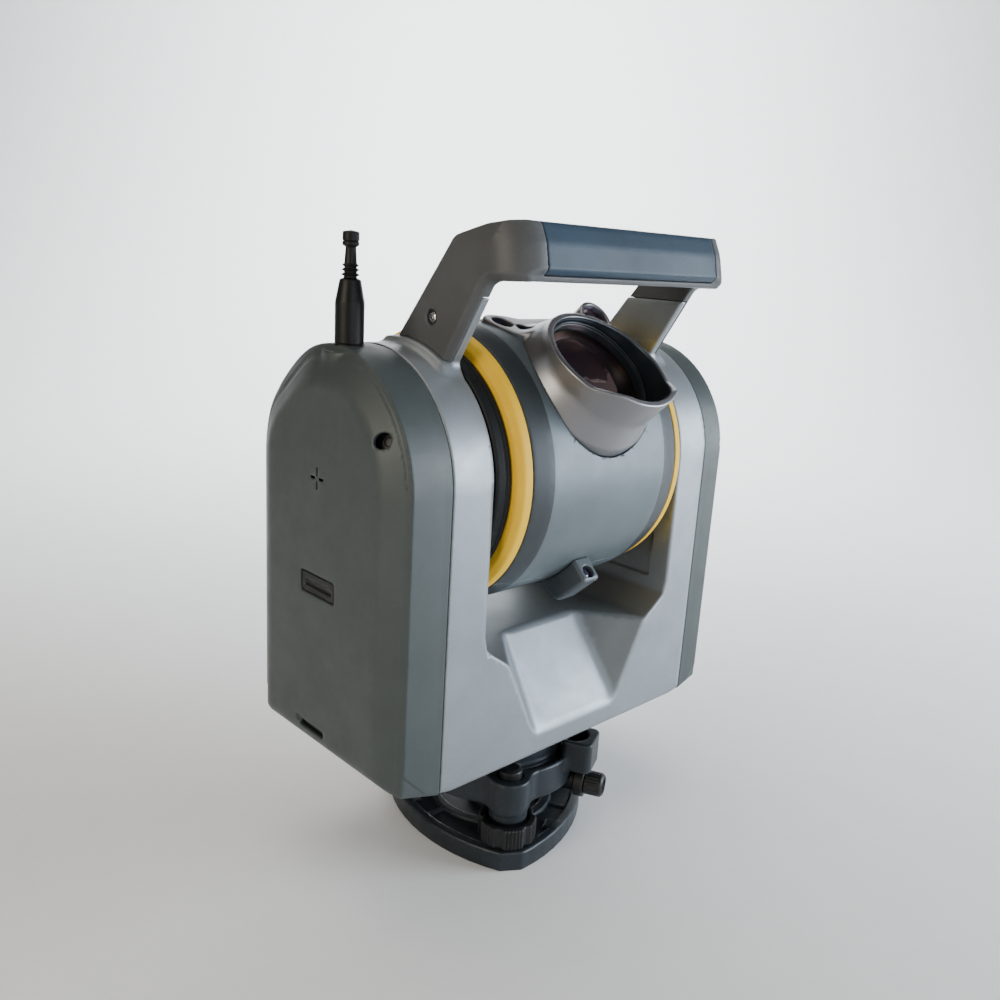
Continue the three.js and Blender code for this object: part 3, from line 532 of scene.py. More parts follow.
def alidade_frame():
    g = Grid((0, -77.1, 86.7), (118.5, 77.1, 385.2), 0.75)
    ax = g.x
    rho = hypot(g.y, g.z - TRUNNION_Z)
    under = [(0, FRAME_BOTTOM), (60, FRAME_BOTTOM), (108, 88.2), (130, 92.5), (130, 430), (0, 430)]
    block = both(arch(g, HALF_DEPTH), poly(g.x, g.z, mirrored(under)), 3.6)
    block = both(block, ax - FRAME_HALF, 0.6)
    # saddles and posts that the handle stands on
    saddle = both(both(rho - 79.5, ax - 100.6, 1.4), slab(g.y, -42, 13), 3.0)
    saddle = both(saddle, TRUNNION_Z + 40 - g.z)
    post = both(poly(g.y, g.z, arm_outline(55, 106)), ax - 93, 1.2)
    block = either(either(block, saddle, 5.5), post, 3.0)
    # the well for the drum, with a shallow recess in each wall
    ramp = [(66.5, WELL_FLOOR, 4), (78, 167.5, 6), (85, 173, 5), (WELL_HALF, 182, 6)]
    well = poly(g.x, g.z, mirrored(arcs([(0, WELL_FLOOR), *ramp, (WELL_HALF, 460), (0, 460)])))
    recess = both(both(ax - 89.4, slab(g.y, -60, 60), 1.2), slab(g.z, 182, 333), 1.2)
    recess = both(recess, arch(g, 62), 1.2)
    well = either(well, recess, 0.6)
    # the sloping notches: a middle facet and two side facets
    folded = ax, np.abs(g.y), g.z
    middle = plane(*folded, (33, 76, 103.5), (0, -56, -40))
    a, b, c = np.array((44.0, 76, 113)), np.array((66.5, 76, 159.5)), np.array((35.0, 36, 159.5))
    side = plane(*folded, a, np.cross(b - a, c - a))
    notch = both(both(middle, side, 3.5), g.z - 163.5)
    voids = either(well, notch, 2.2)
    body = less(block, voids, 1.5)
    # behind the covers and under the floor the casting is open
    inside = both(both(arch(g, HALF_DEPTH - 5), 98 - g.z), 92 - ax)
    pocket = both(inside, -both(rho - 28, ax - 101))
    under_floor = both(both(slab(ax, 30, 95), slab(g.y, -29, 29)), slab(g.z, 98, 154))
    under_ramp = both(both(slab(ax, 72, 95), slab(g.y, -71, 71)), slab(g.z, 98, 154))
    pocket = either(either(pocket, under_floor), under_ramp)
    body = less(body, pocket, 1.0)
    body = less(body, both(rho - 22, 80 - ax), 0.8)
    axle = hypot(g.x, g.y)
    body = less(body, either(both(axle - 44, g.z - 100), both(axle - 24, g.z - 150)), 0.8)
    body, g = unfold(g, body)
    return surface(body, g, adaptivity=0.05)


AXIS_MARK = (1.6, 6.6, 0.45)


def axis_strokes(g, grow=0.0):
    """Four short strokes round an open centre, on the trunnion axis."""
    near, far, half = AXIS_MARK
    u, v = np.abs(g.y), np.abs(g.z - TRUNNION_Z)
    return either(both(slab(u, near - grow, far + grow), v - half * 1.5 - grow),
                  both(slab(v, near - grow, far + grow), u - half - grow))


LEFT_CREASE = 146.0
SOCKET_AT = (-135.0, -1.0)
PORT_AT = (-151.0, -56.2, 301.5)
PORT_TURN = math.radians(30.5)


def port_axis():
    """The direction square to the left cover's bevel, at the port."""
    lean = math.atan2(COVER_HALF - LEFT_CREASE, HALF_DEPTH - 59)
    level = math.sin(lean)
    return np.array((-math.cos(lean), -level * math.cos(PORT_TURN), level * math.sin(PORT_TURN)))


def port_distance(g):
    """Distance to the oval barrel of the port, and the depth along it."""
    axis = port_axis()
    tangent = np.array((0, math.sin(PORT_TURN), math.cos(PORT_TURN)))
    across = np.cross(axis, tangent)
    d = [g.x - PORT_AT[0], g.y - PORT_AT[1], g.z - PORT_AT[2]]
    w, t, a = (sum(d[i] * v[i] for i in range(3)) for v in (axis, tangent, across))
    return hypot(a, t * 1.28) - 5.4, w


def cover(side):
    """A deep shell with a wide bevel round its outer face and a raised band next to the frame."""
    x0, x1 = sorted((side * 116.5, side * 156.1))
    g = Grid((x0, -77.1, 87.1), (x1, 77.1, 347.1), 0.7)
    ax = np.abs(g.x)
    rho = arch(g, 0)
    edge, run = (LEFT_CREASE, (17.0, 9.1)) if side < 0 else (137.0, (21.0, 18.1))
    steep = np.array(run) / math.hypot(*run)
    # the crest sinks towards the rear, and a flat facet cuts its shoulder at 50 degrees
    rear = np.clip((g.y / np.maximum(rho, 1) + 0.55) / 0.65, 0, 1)
    crest = HALF_DEPTH - 4.4 * rear * rear * (3 - 2 * rear)
    across = g.y * math.cos(math.radians(50)) + (g.z - TRUNNION_Z) * math.sin(math.radians(50))
    bevel = (ax - edge) * steep[0] + (rho - crest) * steep[1]
    facet = (ax - edge) * steep[0] + (across - 66.8) * steep[1]
    lean = np.array((9.0, 30.0)) / math.hypot(9, 30)
    bottom = (ax - COVER_INNER) * lean[0] + (88.6 - g.z) * lean[1]
    low_bevel = (ax - g.z - 49.6) * DIAGONAL

    def shell(inset):
        body = both(rho - HALF_DEPTH + inset, both(bevel, facet, 2.0) + inset, 1.2)
        body = both(body, ax - COVER_HALF + inset, 1.6)
        return both(body, both(bottom, low_bevel, 1.5) + inset, 2.2)

    taper = (126 - ax) * 0.1 + (rho - HALF_DEPTH) * 0.995
    band = both(both(ax - edge + 0.8, (ax - g.z - 33.5) * DIAGONAL, 2.0), 93.5 - g.z, 2.0)
    body = both(shell(0), taper, 0.8)
    body = either(both(body, band, 0.25), shell(0.55) + np.where(ax > 147.5, -0.45, 0.0), 0.2)
    body = both(body, ax - COVER_HALF, 0.6)
    body = both(body, COVER_INNER - ax, 0.5)
    body = less(body, both(shell(3.2), COVER_INNER - 1.3 - ax))
    if side < 0:
        # a socket for the antenna, a window for the button, a slot with a notch, and the port
        top = TRUNNION_Z + 72.0
        spot = hypot(g.x - SOCKET_AT[0], g.y - SOCKET_AT[1])
        boss = both(spot - 14.5, slab(g.z, top - 10, top))
        body = either(body, boss, 1.5)
        body = less(body, both(spot - 8.6, top - g.z), 0.4)
        body = less(body, both(spot - 5.0, slab(g.z, top - 24, top + 1)))
        window = box(g, -165, -148, -18.7, 16.9, 198.5, 211.7, 2.2)
        body = less(body, window, 0.7)
        slot = box(g, -165, -148, -8.8, 16.8, 109.4, 113.8, 0.8)
        notch = box(g, -165, -153.6, 14.5, 20.4, 111.6, 115.2, 0.8)
        body = less(body, either(slot, notch), 0.4)
        away, depth = port_distance(g)
        body = less(body, both(away, np.abs(depth) - 8), 0.8)
    else:
        door = box(g, 148, 165, -38.5, 38.5, 129.5, 242.5, 4.0)
        body = less(body, door, 0.7)
    body = less(body, both(axis_strokes(g), 154.3 - ax), 0.1)
    return surface(body, g, adaptivity=0.05)


def axis_mark(side):
    """Black filler in the strokes of the axis mark."""
    g = Grid((154.0, -7.4, TRUNNION_Z - 7.4), (155.3, 7.4, TRUNNION_Z + 7.4), 0.13)
    body = both(axis_strokes(g, 0.15), slab(g.x, 154.35, 154.75))
    return surface(body, g, HERE if side > 0 else HERE @ Matrix.Scale(-1, 4, (1, 0, 0)))


def small_box(low, high, r, step=0.4, carve=None, adaptivity=0.02):
    """A rounded block on the alidade; carve(grid, field) may cut it further."""
    pad = 1.5 * step
    g = Grid([v - pad for v in low], [v + pad for v in high], step)
    body = box(g, low[0], high[0], low[1], high[1], low[2], high[2], r)
    if carve:
        body = carve(g, body)
    return surface(body, g, adaptivity=adaptivity)


def power_button():
    def carve(g, body):
        dish = box(g, -170, -153.2, -15.2, 13.4, 202.6, 207.6, 1.8)
        return less(body, dish, 0.5)
    return small_box((-154.1, -18.4, 198.8), (-151, 16.6, 211.4), 1.0, 0.35, carve)


def grooved(g, body, heights, half_width, half_length, depth_x, r):
    for z in heights:
        groove = both(both(np.abs(g.z - z) - half_width, np.abs(g.y) - half_length), depth_x - g.x)
        body = less(body, groove, r)
    return body


def battery_door():
    def carve(g, body):
        guide = box(g, 153.4, 170, -11.4, 11.4, 221.6, 234.4, 1.0)
        return grooved(g, less(body, guide, 0.4), range(150, 201, 10), 0.8, 26, 154.5, 0.4)
    return small_box((152.1, -38, 130), (155.1, 38, 242), 1.4, 0.5, carve)


def battery_latch():
    def carve(g, body):
        return grooved(g, body, (227.8, 229.3, 230.8, 232.3), 0.35, 9, 154.6, 0.15)
    return small_box((153.6, -11, 226), (155.1, 11, 234), 0.6, 0.22, carve)


def battery_pack():
    def carve(g, body):
        for y in (-24, -12, 0, 12, 24):
            groove = both(both(np.abs(g.y - y) - 1.5, slab(g.z, 146, 226)), 149.0 - g.x)
            body = less(body, groove, 0.5)
        pull = box(g, 147, 170, -14, 14, 228, 234, 1.5)
        return less(body, pull, 0.6)
    return small_box((119, -34, 134), (150, 34, 238), 2.5, 0.7, carve, 0.05)


BAR_OUTLINE = [
    (-91.6, 386.0, 1.2), (-80, 385.5, 3), (-62, 390, 8), (-50, 398, 8), (-46.5, 405, 4), (-47.5, 409.4, 3),
    (-66, 414.8, 30), (-88.9, 417.8, 4), (-94, 407, 14), (-96.8, 393.2, 1.6), (-93.2, 389.6, 0.6),
]
SCREW_Y, SCREW_RISE = -27.0, 92.8


def handle_body(g):
    """A bar on two leaning arms, with one band of chamfer along its lower front edge."""
    ax = g.x
    bar = poly(g.y, g.z, arcs(BAR_OUTLINE))
    outline = [(-33.7, 325), (23.3, 325), (-43.4, 408.2, 8), *BAR_OUTLINE[6:], *BAR_OUTLINE[:1],
               (-80, 385.5, 3), (-70.4, 385.6, 22)]
    side_view = poly(g.y, g.z, arcs(outline, 8))
    front = [(-98, 386), (-96.8, 393.2), (-94, 407, 14), (-88.9, 417.8), (-86, 426), (60, 426), (60, 300),
             (-98, 300)]
    outer = both(poly(g.y, g.z, arcs(front)), ax - 97.8, 23.0)
    under = [(-30.7, 320), (-70.4, 385.6, 22), (-80, 385.5, 3), (-130, 385.5), (-130, 460), (60, 460),
             (60, 320)]
    chamfer = (outer + poly(g.y, g.z, arcs(under, 8)) + 3.9) * DIAGONAL
    body = either(both(side_view, 88 - ax, 1.4), bar, 7.0)
    body = both(both(body, side_view, 1.0), outer, 1.3)
    return both(body, chamfer, 0.5)


def cover_strip(g, grow):
    """The front of the bar that the blue cover takes up, grown by the gap round it."""
    inner = [(-89 + grow, 386), (-89 + grow, 389.5 - grow), (-92.4 + grow, 393), (-90 + grow, 406.5),
             (-84.8 + grow, 418), (-84.8 + grow, 424), (-112, 424), (-112, 386)]
    outline = poly(g.y, g.z, inner)
    low = (389.9 - grow) - g.z
    return both(both(outline, low), g.x - 76.5 - grow, 1.0)


def handle():
    g = Grid((0, -98.4, 322), (98.6, 28, 418.8), 0.7)
    body = handle_body(g)
    body = less(body, hypot(g.y, g.z - TRUNNION_Z) - 79.8, 0.3)
    post = both(poly(g.y, g.z, arm_outline(40, 106.3, 8, 8)), g.x - 93.3)
    body = less(body, post, 0.3)
    body = less(body, cover_strip(g, 0.35), 0.5)
    hole = hypot(g.y - SCREW_Y, g.z - TRUNNION_Z - SCREW_RISE)
    body = less(body, both(hole - 4.6, 94.4 - g.x), 0.4)
    body = less(body, hole - 3.5, 0.2)
    body, g = unfold(g, body)
    return surface(body, g, adaptivity=0.05)


def handle_front_cover():
    g = Grid((0, -98.4, 387.6), (78, -82.6, 418.9), 0.6)
    body = both(handle_body(g), cover_strip(g, 0.0), 0.5)
    body, g = unfold(g, body)
    return surface(body, g, adaptivity=0.04)


# ------------ telescope, in its own frame
def drum_distance(g):
    return hypot(g.y, g.z)


# name, x, z, radius and forward reach
CAMERAS = (("camera_lens_large", -33.0, 54.1, 6.5, 68.0), ("camera_lens_small", -23.3, 45.9, 4.4, 73.0))
TUBE_X, TUBE_Z, TUBE_R, TUBE_BORE, TUBE_F = 38.0, 47.5, 12.8, 9.8, 87.0


def hood_solid(g):
    """Skirt, fin and tube of the hood before the drum and the bores are cut away."""
    r, f = hypot(g.x, g.z), -g.y
    profile = [(0, 30), (48, 30), (48, 82, 6), (HOOD_R, 97, 18), (HOOD_R, 140), (0, 140)]
    skirt = poly(r, f, arcs(profile))
    tilt = math.radians(30)
    fy = g.y * math.cos(tilt) - g.z * math.sin(tilt)
    fz = g.y * math.sin(tilt) + g.z * math.cos(tilt)
    outer = [(-22, 20.5, 8), (-34, 23.5, 8), (-43, 20, 5), (-41, 5, 10), (-36, -9, 10)]
    outline = [*outer, (-18, -16, 4), (0, -4), (-8, 11, 4), (-14, 16, 4)]
    fin = both(poly(g.x, fz, arcs(outline)), slab(fy, -90.4, -50), 1.4)
    tube = both(hypot(g.x - TUBE_X, g.z - TUBE_Z) - TUBE_R, slab(f, 40, TUBE_F), 1.2)
    web = poly(g.x, g.z, arcs([(14, 34), (44, 34, 6), (48, 46, 6), (38, 56, 6), (14, 50)]))
    web = both(web, slab(f, 40, 83), 2.0)
    return either(either(skirt, fin, 5.0), either(tube, web, 4.0), 5.0)


def lens_hood():
    g = Grid((-50, -122.4, -50), (53, -38, 64), 0.75)
    r, f = hypot(g.x, g.z), -g.y
    body = less(hood_solid(g), drum_distance(g) - 86.6)
    body = either(body, both(r - HOOD_R, slab(f, 66, 100)))
    body = less(body, r - HOOD_BORE)
    rim = [(63, 92), (42, 98), (10, 105), (-8, 109, 20), (-21, 112, 8), (-27, 116.5, 5), (-33, 120.6, 7),
           (-43, 121), (-63, 121), (-63, 170), (63, 170)]
    body = less(body, poly(g.z, f, arcs(rim)), 0.9)
    for _, x, z, radius, _ in CAMERAS:
        body = less(body, hypot(g.x - x, g.z - z) - radius, 0.6)
    body = less(body, both(hypot(g.x - TUBE_X, g.z - TUBE_Z) - TUBE_BORE, 42 - f), 0.8)
    return surface(body, g, TELESCOPE)


def drum_shell(front):
    near, far = (-90.4, 1.6) if front else (-1.6, 90.4)
    g = Grid((-68.4, near, -90.4), (68.4, far, 90.4), 0.75)
    ax, radial = np.abs(g.x), drum_distance(g)
    slope = np.array((2.5, 15.5)) / math.hypot(2.5, 15.5)
    cone = (ax - DRUM_BAND_X) * slope[0] + (radial - DRUM_R) * slope[1]
    outer = both(both(radial - DRUM_R, cone, 0.5), ax - 67, 1.2)
    body = less(outer, both(radial - 84.8, ax - 64))
    body = less(body, radial - 14.6)
    body = both(body, (g.y + 0.15) if front else (0.15 - g.y), 0.5)
    if front:
        body = less(body, both(hood_solid(g) - 0.55, 20 + g.y), 0.3)
    return surface(body, g, TELESCOPE, adaptivity=0.012)


def sensor_pod():
    g = Grid((-8.6, -15.6, -105.6), (8.6, 28, -80), 0.4)
    outline = [(-13.5, -80, 0), (-14.2, -104.5, 2.4), (16, -104.5, 6), (27, -84, 3), (26, -80, 0)]
    body = both(poly(g.y, g.z, arcs(outline)), np.abs(g.x) - 7.5, 2.2)
    body = less(body, drum_distance(g) - (DRUM_R + 0.4), 0.5)
    hole = hypot(g.x, g.z + 98)
    body = less(body, both(hole - 4.2, g.y + 8), 0.6)
    return surface(body, g, TELESCOPE, adaptivity=0.02)


# ------------ tribrach
def plate_outline(corner_r, flat_half, side_r):
    """Three truncated corners at the screws, joined by sides that bow out to side_r."""
    flat_turn = math.atan2(flat_half, corner_r)
    reach = math.hypot(corner_r, flat_half)
    corner = polar(reach, 60 - math.degrees(flat_turn))
    centre = (reach * reach - side_r * side_r) / (2 * (corner[0] - side_r))
    sweep = math.atan2(corner[1], corner[0] - centre)
    points = []
    for angle in SCREW_ANGLES:
        for k in range(13):
            t = -sweep + 2 * sweep * k / 12
            x = centre + (side_r - centre) * math.cos(t)
            y = (side_r - centre) * math.sin(t)
            turned = angle + 60 + math.degrees(math.atan2(y, x))
            points.append((*polar(math.hypot(x, y), turned), 3.0 if k in (0, 12) else 0))
    return arcs(points, 4)


def along(g, angle):
    """Coordinates outwards and sideways of a direction in plan."""
    c, s = polar(1, angle)
    return g.x * c + g.y * s, g.y * c - g.x * s


def screw_spots(g):
    """Distances in plan from the axes of the foot screws."""
    spots = (polar(SCREW_RADIUS, angle) for angle in SCREW_ANGLES)
    return [hypot(g.x - x, g.y - y) for x, y in spots]


def base_plate():
    g = Grid((-82.5, -82.5, -0.9), (82.5, 82.5, 15.1), 0.6)
    axle = hypot(g.x, g.y)
    outline = poly(g.x, g.y, plate_outline(80.5, 7.5, 64.5))
    body = both(outline, g.z - 14, 1.6)
    body = both(body, -g.z, 0.8)
    # a raised rim and three panels let into the top
    panel = both(outline + 6.5, 44.5 - axle, 3.0)
    body = less(body, both(panel, 11.8 - g.z), 0.8)
    for angle, spot in zip(SCREW_ANGLES, screw_spots(g)):
        body = either(body, both(spot - 11.5, slab(g.z, 3, 14), 0.8), 1.0)
        body = less(body, both(spot - 7, 5 - g.z), 0.5)
        u, v = along(g, angle + 60)
        rib = both(both(np.abs(v) - 1.6, slab(u, 40, 60)), slab(g.z, 6, 13.4), 0.6)
        body = either(body, rib, 1.0)
        lug = both(both(np.abs(v + 26) - 5.5, slab(u, 50, 60.5), 1.5), slab(g.z, 5, 14), 1.0)
        body = either(body, both(lug, outline + 0.6), 0.8)
    body = less(body, both(slab(axle, 17, 38), 8 - g.z), 0.8)
    body = less(body, axle - 16, 0.6)
    return surface(body, g, adaptivity=0.05)


def tribrach_body():
    """A round dish with three screw bosses on its rim and a hub in its middle."""
    g = Grid((-78, -78, 26), (78, 78, 73.6), 0.7)
    axle = hypot(g.x, g.y)
    spots = screw_spots(g)
    bosses = np.minimum(np.minimum(spots[0], spots[1]), spots[2]) - 13.2
    lever_u, lever_v = along(g, LEVER_ANGLE)
    pad = hypot(lever_u - POST_RADIUS, lever_v) - 11.5
    plan = either(either(axle - 60.5, bosses, 9.0), pad, 6.0)
    web = both(plan, slab(g.z, 38, 60.5), 1.6)
    web = less(web, both(slab(axle, 50, 57.6), 57.2 - g.z), 0.8)
    hub = [(0, 27), (31, 27, 2), (32, 32, 2), (45, 33.5, 3), (50, 38, 3), (50, 72, 1.5), (0, 72)]
    body = either(web, poly(axle, g.z, arcs(hub)), 2.0)
    body = either(body, both(bosses, slab(g.z, 30.6, 60.5), 1.6), 3.0)
    body = both(body, np.where(axle > 52, g.z - 60.5, g.z - 73))
    # the housing beside the screw that shelters the level
    u, v = along(g, SIDE_ANGLE)
    pod = both(both(slab(u, 54, 76.2), np.abs(v) - 14.2, 5.0), slab(g.z, 50, 72.6), 1.6)
    body = either(body, pod, 3.0)
    body = less(body, both(hypot(u - POST_RADIUS, v) - 10.6, 57.7 - g.z), 0.8)
    # a boss that carries the plummet
    neck = both(hypot(v, g.z - PLUMMET_Z) - 11.5, slab(u, 20, 50.5), 1.6)
    body = either(body, neck, 4.0)
    body = less(body, both(hypot(v, g.z - PLUMMET_Z) - 8.4, 20 - u), 0.5)
    body = less(body, hypot(lever_u - POST_RADIUS, lever_v) - 4.4)
    for spot in spots:
        body = less(body, spot - 5.7)
        body = less(body, both(spot - 8.6, 58 - g.z), 0.6)
    body = less(body, both(axle - 36.2, 58 - g.z), 1.2)
    body = less(body, axle - 24, 0.8)
    return surface(body, g, adaptivity=0.04)


def knob_field(g):
    """Lobes with coarse ribs between smooth scallops, in plan."""
    lobes = 6
    radial, angle = hypot(g.x, g.y), np.arctan2(g.y, g.x)
    turn = (angle * lobes / (2 * math.pi)) % 1.0
    off = np.abs(turn - 0.5)
    scallop = np.clip(1 - off / 0.24, 0, 1)
    scallop = scallop * scallop * (3 - 2 * scallop)
    ribs = np.where(off > 0.25, 0.9 * np.clip(0.5 + 0.9 * np.cos(angle * lobes * 8), 0, 1), 0.0)
    return radial - (19.9 - 2.2 * scallop - ribs)


def foot_screw(place):
    g = Grid((-20.6, -20.6, 5.2), (20.6, 20.6, 61.8), 0.45)
    radial = hypot(g.x, g.y)
    knob = both(knob_field(g) * 0.92, slab(g.z, 15.5, 30), 1.2)
    knob = less(knob, both(slab(radial, 9, 15), 28.6 - g.z), 0.6)
    spindle = poly(radial, g.z, [(0, 6), (3, 6.6), (5, 10), (5, 61), (0, 61)])
    thread = 0.25 * np.abs(((g.z / 1.2) % 1.0) - 0.5)
    body = either(knob, np.where(g.z > 31, spindle + thread, spindle), 0.8)
    return surface(body, g, place, adaptivity=0.02)


def lock_lever():
    g = Grid((-9.5, -9.5, 45.4), (19.6, 9.5, 70.2), 0.4)
    radial = hypot(g.x, g.y)
    knob = both(radial - 8, slab(g.z, 62.4, 69), 1.4)
    pointer = poly(g.x, g.y, arcs([(0, -6), (18, -2.6, 2.2), (18, 2.6, 2.2), (0, 6)]))
    pointer = both(pointer, slab(g.z, 62.4, 67.6), 1.0)
    body = either(either(knob, pointer, 2.0), both(radial - 4, slab(g.z, 46, 64), 0.6), 0.5)
    slot = both(both(np.abs(g.y) - 0.8, radial - 5), 67.9 - g.z)
    body = less(body, slot, 0.3)
    x, y = polar(POST_RADIUS, LEVER_ANGLE)
    turn = Matrix.Rotation(math.radians(-33), 4, "Z")
    return surface(body, g, placed(x, y) @ turn, adaptivity=0.02)


def plummet_eyepiece():
    g = Grid((-9.2, -9.2, 65.5), (9.2, 9.2, 85.6), 0.3)
    radial, angle = hypot(g.x, g.y), np.arctan2(g.y, g.x)
    outline = [(0, 66), (4.6, 66), (4.6, 71.4), (8.5, 71.4, 0.6), (8.5, 83, 1.6), (6.3, 85, 0.5), (4.6, 81),
               (0, 81)]
    body = poly(radial, g.z, arcs(outline))
    ribs = 0.35 * (0.5 + 0.5 * np.cos(angle * 26))
    band = np.clip((1 - np.abs(g.z - 77) / 5.2) * 4, 0, 1)
    body = body + ribs * band * (radial > 6)
    return surface(body, g, outward(SIDE_ANGLE, PLUMMET_Z), adaptivity=0.01)


# ------------ the pieces, body by body
def make_tribrach():
    stand_for("base_plate", base_plate(), CAST)
    bush = [(8, 0.02, 0.4), (15.7, 0.02, 0.4), (15.7, 5), (13, 5, 0.3), (13, 10, 0.5), (8, 10, 0.5)]
    stand_for("thread_bush", revolved(bush), BRASS)
    stand_for("tribrach_body", tribrach_body(), CAST)
    cap = [(0, 62), (5.2, 62), (5.2, 58.4), (8, 58.4, 0.3), (8, 65.6, 1.6), (5.4, 67, 1.5), (0, 66.6)]
    for k, angle in enumerate(SCREW_ANGLES, 1):
        place = placed(*polar(SCREW_RADIUS, angle))
        stand_for(f"foot_screw_{k}", foot_screw(place), BLACK)
        stand_for(f"foot_cap_{k}", revolved(cap, 64, place), BLACK)
    place = placed(*polar(POST_RADIUS, SIDE_ANGLE))
    cup = [(0, 58.3), (10, 58.3, 0.6), (10, 63.4, 0.8), (7.5, 63.4, 0.4), (7.5, 59.4), (0, 59.4)]
    stand_for("level_housing", revolved(cup, 64, place), BLACK)
    vial = [(0, 59.7), (7.2, 59.7), (7.2, 63.0, 0.8), (4, 64.1, 4), (0, 64.3)]
    stand_for("level_vial", revolved(vial, 64, place), VIAL)
    barrel = [(0, 26), (8, 26, 0.5), (8, 47), (9.6, 48, 0.5), (9.6, 52, 0.5), (8, 53), (8, 63.4),
              (11, 64.2, 0.8), (11, 71, 0.8), (5, 71, 0.3), (5, 40), (0, 40)]
    place = outward(SIDE_ANGLE, PLUMMET_Z)
    stand_for("plummet_housing", revolved(barrel, 80, place), BLACK)
    stand_for("plummet_eyepiece", plummet_eyepiece(), BLACK)
    glass = revolved([(0, 81.2), (4.5, 81.2), (4.5, 81.8, 0.4), (0, 82.4)], 48, place)
    put("plummet_glass", glass, LENS_SMALL, "plummet_eyepiece")
    stand_for("lock_lever", lock_lever(), BLACK)
    flange = [(11.9, 58.6), (35.6, 58.6, 1), (35.6, 73.4), (52, 73.4, 1), (55, 76.2, 1), (55, 82, 1),
              (52.4, 85, 1.2), (50, 85, 0.4), (49.4, 84.2), (46.6, 84.2), (46, 85, 0.4), (11.9, 85)]
    stand_for("instrument_base", revolved(flange, 128), CAST)


def make_alidade():
    stand_for("alidade_frame", alidade_frame(), SILVER)
    stand_for("left_cover", cover(-1), COVER)
    stand_for("right_cover", cover(1), COVER)
    for side, word in ((-1, "left"), (1, "right")):
        put(f"{word}_axis_mark", axis_mark(side), BLACK, "alidade")
    plug = [(0, -7.9), (6.6, -7.9), (6.6, -6.6), (2.6, -6.6, 0.4), (2.2, -7.1, 0.3), (0, -7.1)]
    place = placed(*PORT_AT) @ Vector(port_axis()).to_track_quat("Z", "Y").to_matrix().to_4x4()
    stand_for("port_plug", revolved(plug, 48, place), BLACK)
    insert = small_box((-151.8, -11.9, 108.9), (-149, 18.1, 116.9), 0.5)
    stand_for("slot_insert", insert, BLACK)
    stand_for("power_button", power_button(), BLACK)
    stand_for("battery_door", battery_door(), COVER)
    stand_for("battery_latch", battery_latch(), BLACK)
    stand_for("battery_pack", battery_pack(), BLACK)
    stand_for("handle", handle(), HANDLE)
    stand_for("handle_front_cover", handle_front_cover(), BLUE)
    screw = [(0, 93.3), (3.2, 93.3, 0.3), (3.2, 96.6, 0.8), (2.2, 97.3, 0.6), (1.7, 97.2), (1.6, 95.6),
             (0, 95.4)]
    for side, name in ((1, "right_handle_screw"), (-1, "left_handle_screw")):
        place = placed(0, SCREW_Y, TRUNNION_Z + SCREW_RISE) @ Matrix.Rotation(side * math.pi / 2, 4, "Y")
        stand_for(name, revolved(screw, 48, place), STEEL)
    whip = [(0, 0), (8.2, 0, 0.5), (8.2, 3, 0.3), (7.8, 3.6, 0.3), (8.2, 4.2, 0.3), (8.2, 26.4, 3),
            (5.9, 38.6, 0.8), (3.6, 39.6, 0.3), (3.6, 40.4), (5.4, 41.3, 0.3), (3.5, 42.3), (3.5, 43.0),
            (5.2, 43.9, 0.3), (3.4, 44.9), (3.4, 45.5), (4.9, 46.3, 0.3), (3.5, 47.3), (2.9, 56, 1),
            (4.6, 57, 0.6), (4.6, 58.6, 0.3), (4.2, 59.1), (4.6, 59.6, 0.3), (4.6, 64.2, 0.8), (0, 65)]
    stand_for("antenna", revolved(whip, 72, placed(*SOCKET_AT, TRUNNION_Z + 72.3)), WHIP)


def make_telescope():
    for front, name in ((True, "front_shell"), (False, "rear_shell")):
        stand_for(name, drum_shell(front), DRUM)
    for side, word in ((-1, "left"), (1, "right")):
        turn = Matrix.Identity(4) if side > 0 else Matrix.Rotation(math.pi, 4, "Z")
        place = TELESCOPE @ turn @ Matrix.Rotation(math.pi / 2, 4, "Y")
        ring = [(66, 67.3), (86.6, 67.3, 0.6), (86.0, 73.0, 3.5), (82.6, 76.2, 3.2), (66, 76.2)]
        stand_for(f"{word}_yellow_ring", revolved(ring, 144, place), YELLOW)
        boot = [(14.4, 67.3), (65.7, 67.3), (65.7, 76.5), (79, 76.5, 1.5), (78.6, 79.4, 1.2),
                (77.6, 80.2, 0.8), (78.3, 81.2, 1), (77, 86.3, 2.2), (14.4, 86.3)]
        stand_for(f"{word}_boot", revolved(boot, 128, place), RUBBER)
    stand_for("lens_hood", lens_hood(), SATIN)
    cell = [(34, 44), (38.2, 44), (38.2, 95, 0.4), (36.9, 95, 0.4), (36.9, 93.6), (36.4, 93.4, 0.3),
            (36.4, 84), (34, 84)]
    stand_for("lens_cell", revolved(cell, 128, forward_at()), INSIDE)
    lens = [(0, 84.4), (36, 84.4, 0.3), (36, 88.4, 0.4), (30, 90.3, 20), (18, 91.8, 30), (9, 92.4, 30),
            (0, 92.6)]
    stand_for("objective_lens", revolved(lens, 128, forward_at()), LENS)
    for name, x, z, r, f in CAMERAS:
        lens = [(0, 50), (r - 0.3, 50), (r - 0.3, f - 4, 0.5), (r * 0.6, f - 3.2, 3), (0, f - 3)]
        stand_for(name, revolved(lens, 64, forward_at(x, z)), LENS_SMALL)
    r = TUBE_BORE - 0.3
    window = [(0, 60), (r, 60), (r, TUBE_F - 4, 0.5), (5, TUBE_F - 3.1, 6), (0, TUBE_F - 3)]
    stand_for("tracker_window", revolved(window, 72, forward_at(TUBE_X, TUBE_Z)), LENS_SMALL)
    stand_for("sensor_pod", sensor_pod(), POD)
    pane = [(0, 8.3), (3.9, 8.3), (3.9, 11.2, 0.5), (2, 11.8, 1), (0, 12)]
    stand_for("pod_window", revolved(pane, 48, forward_at(0, -98)), LENS_SMALL)


